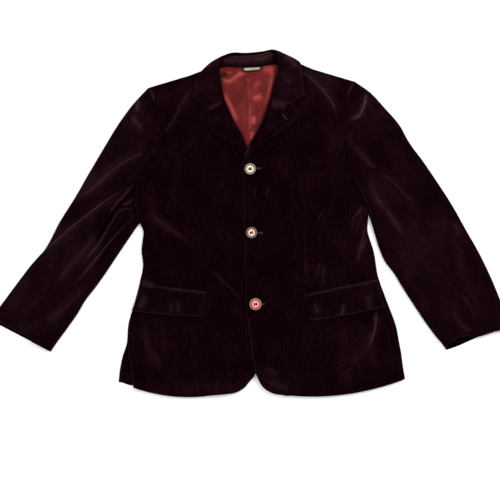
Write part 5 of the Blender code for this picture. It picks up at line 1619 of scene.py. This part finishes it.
def add_button(row):
    """A turned disc with four drilled holes."""
    radius = row.diameter / 2.0
    seat = button_seat(row)
    disc = bmesh.new()
    stops = [disc.verts.new((share * radius * MM, 0.0, rise * BUTTON_THICK * MM))
             for share, rise in BUTTON_PROFILE]
    edges = [disc.edges.new(pair) for pair in zip(stops, stops[1:])]
    bmesh.ops.spin(disc, geom=stops + edges, cent=(0, 0, 0), axis=(0, 0, 1), angle=2.0 * np.pi,
                   steps=BUTTON_SEGMENTS, use_merge=True)
    bmesh.ops.remove_doubles(disc, verts=disc.verts, dist=BUTTON_WELD)
    bmesh.ops.recalc_face_normals(disc, faces=disc.faces)
    bmesh.ops.translate(disc, verts=disc.verts, vec=Vector((row.x, row.y, seat)) * MM)
    mesh = bpy.data.meshes.new(row.name)
    disc.to_mesh(mesh)
    disc.free()
    rough = bpy.data.objects.new(row.name + "_blank", mesh)
    scene.collection.objects.link(rough)
    drills = []
    for x in (-1, 1):
        for y in (-1, 1):
            bit = bmesh.new()
            bmesh.ops.create_cone(bit, cap_ends=True, segments=20, depth=4.0 * BUTTON_THICK * MM,
                                  radius1=BUTTON_HOLE_RADIUS * MM, radius2=BUTTON_HOLE_RADIUS * MM)
            offset = turned(row, x * BUTTON_HOLE_OFFSET, y * BUTTON_HOLE_OFFSET)
            bmesh.ops.translate(bit, verts=bit.verts, vec=Vector((*offset, seat)) * MM)
            bit_mesh = bpy.data.meshes.new("bit")
            bit.to_mesh(bit_mesh)
            bit.free()
            drill = bpy.data.objects.new("bit", bit_mesh)
            scene.collection.objects.link(drill)
            cut = rough.modifiers.new("hole", "BOOLEAN")
            cut.operation = "DIFFERENCE"
            cut.solver = "EXACT"
            cut.object = drill
            drills.append(drill)
    ready = rough.evaluated_get(bpy.context.evaluated_depsgraph_get())
    drilled = bpy.data.meshes.new_from_object(ready)
    for spare in drills + [rough]:
        bpy.data.objects.remove(spare, do_unlink=True)
    drilled.name = row.name
    places = np.empty(len(drilled.vertices) * 3, dtype=np.float32)
    drilled.vertices.foreach_get("co", places)
    places = places.reshape(-1, 3) / MM
    flat = places[:, :2] - np.array((row.x, row.y))
    away = np.linalg.norm(flat, axis=1) / radius
    drilled.attributes.new("light", "FLOAT", "POINT").data.foreach_set("value", away.astype(np.float32))
    corner = np.empty(len(drilled.loops), dtype=np.int32)
    drilled.loops.foreach_get("vertex_index", corner)
    drilled.uv_layers.new(name="grain").data.foreach_set("uv", (flat[corner] * MM).astype(np.float32).ravel())
    drilled.polygons.foreach_set("use_smooth", np.ones(len(drilled.polygons), dtype=bool))
    drilled.set_sharp_from_angle(angle=np.radians(BUTTON_SHARP_TURN))
    drilled.materials.clear()
    drilled.materials.append(button_finish(row))
    piece = bpy.data.objects.new(row.name + "_turned", drilled)
    scene.collection.objects.link(piece)
    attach(piece, "root")
    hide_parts(row.name)
    return seat


seats = {row.name: add_button(row) for row in BUTTONS}

# Button thread
# Dark brown waxed thread, a shade of its own for each button, holds it through its holes in two bars of a
# few strands. The top button's strands are crossed as well.
THREAD_RADIUS = 0.58
THREAD_STRANDS = 3
THREAD_PLY = Streak(1500.0, 1500.0, 0.3, 0.7)
THREAD_SPREAD = 1.5
THREAD_OVERRUN = 0.35
THREAD_WAVE = 0.12
THREAD_WAVES = 3.0
THREAD_BEND = 0.72
THREAD_SINK = 3.0
THREAD_LIFT = 0.75
STRAND_LIFT = 0.12
CROSS_LIFT = 0.45


def thread_finish(name, color):
    """Twisted thread: one colour, lighter and darker along its ply."""
    material = bpy.data.materials.new(name)
    material.use_nodes = True
    tree = material.node_tree
    shader = tree.nodes["Principled BSDF"]
    place = add_node(tree, "ShaderNodeTexCoord").outputs["Object"]
    ply = streaks(tree, place, THREAD_PLY)
    dark = tuple(0.5 * part for part in color)
    tree.links.new(blend_color(tree, ply, dark, color), shader.inputs["Base Color"])
    tree.links.new(weigh(tree, "ADD", weigh(tree, "MULTIPLY", ply, 0.2), 0.7), shader.inputs["Roughness"])
    shader.inputs["Specular IOR Level"].default_value = 0.03
    return material


def thread_tree():
    """Geometry nodes that turn drawn lines into round thread."""
    tree = bpy.data.node_groups.new("thread", "GeometryNodeTree")
    tree.interface.new_socket("Geometry", in_out="INPUT", socket_type="NodeSocketGeometry")
    radius = tree.interface.new_socket("Radius", in_out="INPUT", socket_type="NodeSocketFloat")
    finish = tree.interface.new_socket("Finish", in_out="INPUT", socket_type="NodeSocketMaterial")
    tree.interface.new_socket("Geometry", in_out="OUTPUT", socket_type="NodeSocketGeometry")
    entry = tree.nodes.new("NodeGroupInput")
    leave = tree.nodes.new("NodeGroupOutput")
    line = tree.nodes.new("GeometryNodeMeshToCurve")
    ring = tree.nodes.new("GeometryNodeCurvePrimitiveCircle")
    ring.inputs["Resolution"].default_value = 8
    tube = tree.nodes.new("GeometryNodeCurveToMesh")
    tube.inputs["Fill Caps"].default_value = True
    real = tree.nodes.new("GeometryNodeRealizeInstances")
    paint = tree.nodes.new("GeometryNodeSetMaterial")
    tree.links.new(entry.outputs["Geometry"], line.inputs["Mesh"])
    tree.links.new(entry.outputs["Radius"], ring.inputs["Radius"])
    tree.links.new(line.outputs["Curve"], tube.inputs["Curve"])
    tree.links.new(ring.outputs["Curve"], tube.inputs["Profile Curve"])
    tree.links.new(tube.outputs["Mesh"], real.inputs["Geometry"])
    tree.links.new(real.outputs["Geometry"], paint.inputs["Geometry"])
    tree.links.new(entry.outputs["Finish"], paint.inputs["Material"])
    tree.links.new(paint.outputs["Geometry"], leave.inputs["Geometry"])
    return tree, radius.identifier, finish.identifier


def drawn_lines(name, lines):
    """An object of plain edges through lists of places in millimetres."""
    mesh = bpy.data.meshes.new(name)
    places = [place for line in lines for place in line]
    edges = []
    start = 0
    for line in lines:
        edges += [(start + step, start + step + 1) for step in range(len(line) - 1)]
        start += len(line)
    mesh.from_pydata([tuple(np.array(place) * MM) for place in places], edges, [])
    drawn = bpy.data.objects.new(name, mesh)
    scene.collection.objects.link(drawn)
    return drawn


def worked(drawn, tree, values, name):
    """Works the thread along drawn lines, as a plain mesh that rides with the jacket."""
    modifier = drawn.modifiers.new("thread", "NODES")
    modifier.node_group = tree
    for identifier, value in values:
        modifier[identifier] = value
    ready = drawn.evaluated_get(bpy.context.evaluated_depsgraph_get())
    mesh = bpy.data.meshes.new_from_object(ready)
    bpy.data.objects.remove(drawn, do_unlink=True)
    mesh.name = name
    piece = bpy.data.objects.new(name, mesh)
    scene.collection.objects.link(piece)
    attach(piece, "root")
    return piece


def thread_lines(row):
    """Strands of a button, up through one hole and down through the next: two bars, or bars and a cross."""
    top = seats[row.name] + BUTTON_PROFILE[0][1] * BUTTON_THICK
    runs = [((-1, -1), (-1, 1)), ((1, -1), (1, 1))]
    if row.crossed:
        runs += [((-1, -1), (1, 1)), ((1, -1), (-1, 1))]
    lines = []
    for layer, (start, stop) in enumerate(runs):
        start = np.array(start, dtype=float)
        stop = np.array(stop, dtype=float)
        run = (stop - start) / np.linalg.norm(stop - start)
        left = np.array((-run[1], run[0]))
        for strand in range(THREAD_STRANDS):
            aside = left * (strand - (THREAD_STRANDS - 1) / 2.0) * THREAD_RADIUS * THREAD_SPREAD
            line = []
            for step in np.linspace(-1.0, 1.0, 15):
                place = (start + stop) / 2.0 * BUTTON_HOLE_OFFSET + aside
                place = place + (stop - start) / 2.0 * step * (BUTTON_HOLE_OFFSET + THREAD_OVERRUN)
                place = place + THREAD_WAVE * np.sin(THREAD_WAVES * step + strand) * left
                sink = THREAD_SINK * max(0.0, abs(step) - THREAD_BEND) / (1.0 - THREAD_BEND)
                lift = (STRAND_LIFT * strand + CROSS_LIFT * (layer // 2)) * (1.0 - abs(step))
                line.append((*turned(row, *place), top + THREAD_RADIUS + THREAD_LIFT + lift - sink))
            lines.append(line)
    return lines


THREAD_TREE, THREAD_SIZE, THREAD_PAINT = thread_tree()
for row in BUTTONS:
    finish = thread_finish(row.name + "_thread", row.thread)
    worked(drawn_lines(row.name + "_strands", thread_lines(row)), THREAD_TREE,
           ((THREAD_SIZE, THREAD_RADIUS * MM), (THREAD_PAINT, finish)), row.name + "_thread")

# Buttonholes
# Slits cut through the left front and edged with close grey-brown stitches that run round an eye at the
# far end: three that come out from under the buttons, and a small one on the left lapel.
Buttonhole = namedtuple("Buttonhole", "name x0 y0 x1 y1 half_width eye on_lapel")
BUTTONHOLES = [
    Buttonhole("buttonhole_top", 2, 123.5, 19, 124, 0.9, 1.3, False),
    Buttonhole("buttonhole_middle", 4, -21, 23, -21.5, 1.2, 1.8, False),
    Buttonhole("buttonhole_bottom", 12, -181.5, 27.5, -181, 0.25, 1.7, False),
    Buttonhole("buttonhole_lapel", 69.5, 245, 78.5, 233.5, 0.45, 0.65, True),
]
STITCH_SPACING = 0.62
STITCH_RADIUS = 0.34
STITCH_REACH = 1.0
STITCH_SUNK = 0.7
STITCH_FRONT = (0.062, 0.045, 0.050)
STITCH_LAPEL = (0.046, 0.034, 0.038)
EYE_START = 0.88
EYE_EASE = 0.12


def stitch_tree():
    """Geometry nodes that set close stitches across a drawn line."""
    tree = bpy.data.node_groups.new("buttonhole_stitches", "GeometryNodeTree")
    tree.interface.new_socket("Geometry", in_out="INPUT", socket_type="NodeSocketGeometry")
    spacing = tree.interface.new_socket("Spacing", in_out="INPUT", socket_type="NodeSocketFloat")
    radius = tree.interface.new_socket("Radius", in_out="INPUT", socket_type="NodeSocketFloat")
    reach = tree.interface.new_socket("Reach", in_out="INPUT", socket_type="NodeSocketFloat")
    finish = tree.interface.new_socket("Finish", in_out="INPUT", socket_type="NodeSocketMaterial")
    tree.interface.new_socket("Geometry", in_out="OUTPUT", socket_type="NodeSocketGeometry")
    entry = tree.nodes.new("NodeGroupInput")
    leave = tree.nodes.new("NodeGroupOutput")
    line = tree.nodes.new("GeometryNodeMeshToCurve")
    spots = add_node(tree, "GeometryNodeCurveToPoints", mode="LENGTH")
    bead = tree.nodes.new("GeometryNodeMeshUVSphere")
    bead.inputs["Segments"].default_value = 8
    bead.inputs["Rings"].default_value = 6
    size = tree.nodes.new("ShaderNodeCombineXYZ")
    place = tree.nodes.new("GeometryNodeInstanceOnPoints")
    jitter = add_node(tree, "FunctionNodeRandomValue", data_type="FLOAT")
    jitter.inputs["Min"].default_value = 0.85
    jitter.inputs["Max"].default_value = 1.12
    jitter.inputs["Seed"].default_value = 7
    uneven = add_node(tree, "ShaderNodeVectorMath", operation="SCALE")
    real = tree.nodes.new("GeometryNodeRealizeInstances")
    smooth = tree.nodes.new("GeometryNodeSetShadeSmooth")
    paint = tree.nodes.new("GeometryNodeSetMaterial")
    tree.links.new(entry.outputs["Geometry"], line.inputs["Mesh"])
    tree.links.new(line.outputs["Curve"], spots.inputs["Curve"])
    tree.links.new(entry.outputs["Spacing"], spots.inputs["Length"])
    bead.inputs["Radius"].default_value = 1.0
    tree.links.new(entry.outputs["Reach"], size.inputs["X"])
    tree.links.new(entry.outputs["Radius"], size.inputs["Y"])
    tree.links.new(entry.outputs["Radius"], size.inputs["Z"])
    tree.links.new(size.outputs["Vector"], uneven.inputs["Vector"])
    random_value = [socket for socket in jitter.outputs if socket.enabled][0]
    tree.links.new(random_value, uneven.inputs["Scale"])
    tree.links.new(spots.outputs["Points"], place.inputs["Points"])
    tree.links.new(spots.outputs["Rotation"], place.inputs["Rotation"])
    tree.links.new(bead.outputs["Mesh"], place.inputs["Instance"])
    tree.links.new(uneven.outputs["Vector"], place.inputs["Scale"])
    tree.links.new(place.outputs["Instances"], real.inputs["Geometry"])
    tree.links.new(real.outputs["Geometry"], smooth.inputs["Geometry"])
    tree.links.new(smooth.outputs["Geometry"], paint.inputs["Geometry"])
    tree.links.new(entry.outputs["Finish"], paint.inputs["Material"])
    tree.links.new(paint.outputs["Geometry"], leave.inputs["Geometry"])
    return tree, spacing.identifier, radius.identifier, reach.identifier, finish.identifier


def slit_half_width(hole, share):
    """Half the width of a slit, which opens into its eye at the far end."""
    return hole.half_width + (hole.eye - hole.half_width) * ease((share - EYE_START) / EYE_EASE)


def buttonhole_line(hole, face):
    """A narrow loop round the slit, laid on the cloth, with a round eye at its far end."""
    start = np.array((hole.x0, hole.y0), dtype=float)
    run = np.array((hole.x1, hole.y1), dtype=float) - start
    length = np.linalg.norm(run)
    run /= length
    left = np.array((-run[1], run[0]))
    around = []
    for share in np.linspace(0.0, 1.0, 40):
        around.append(start + run * length * share + left * slit_half_width(hole, share))
    for angle in np.linspace(np.pi / 2, -np.pi / 2, 14)[1:-1]:
        around.append(start + run * (length + hole.eye * np.cos(angle)) + left * hole.eye * np.sin(angle))
    for share in np.linspace(1.0, 0.0, 40):
        around.append(start + run * length * share - left * slit_half_width(hole, share))
    return [tuple(face.lift(x, y, STITCH_RADIUS * STITCH_SUNK, CHEST_HEIGHT)) for x, y in around]


STITCH_TREE, STITCH_GAP, STITCH_SIZE, STITCH_SPAN, STITCH_PAINT = stitch_tree()
FRONT_THREAD = thread_finish("buttonhole_thread", STITCH_FRONT)
LAPEL_THREAD = thread_finish("lapel_buttonhole_thread", STITCH_LAPEL)
for hole in BUTTONHOLES:
    face = lapel_faces["left"] if hole.on_lapel else front_faces["left"]
    thread = LAPEL_THREAD if hole.on_lapel else FRONT_THREAD
    worked(drawn_lines(hole.name + "_line", [buttonhole_line(hole, face)]), STITCH_TREE,
           ((STITCH_GAP, STITCH_SPACING * MM), (STITCH_SIZE, STITCH_RADIUS * MM),
            (STITCH_SPAN, STITCH_REACH * MM), (STITCH_PAINT, thread)),
           hole.name)
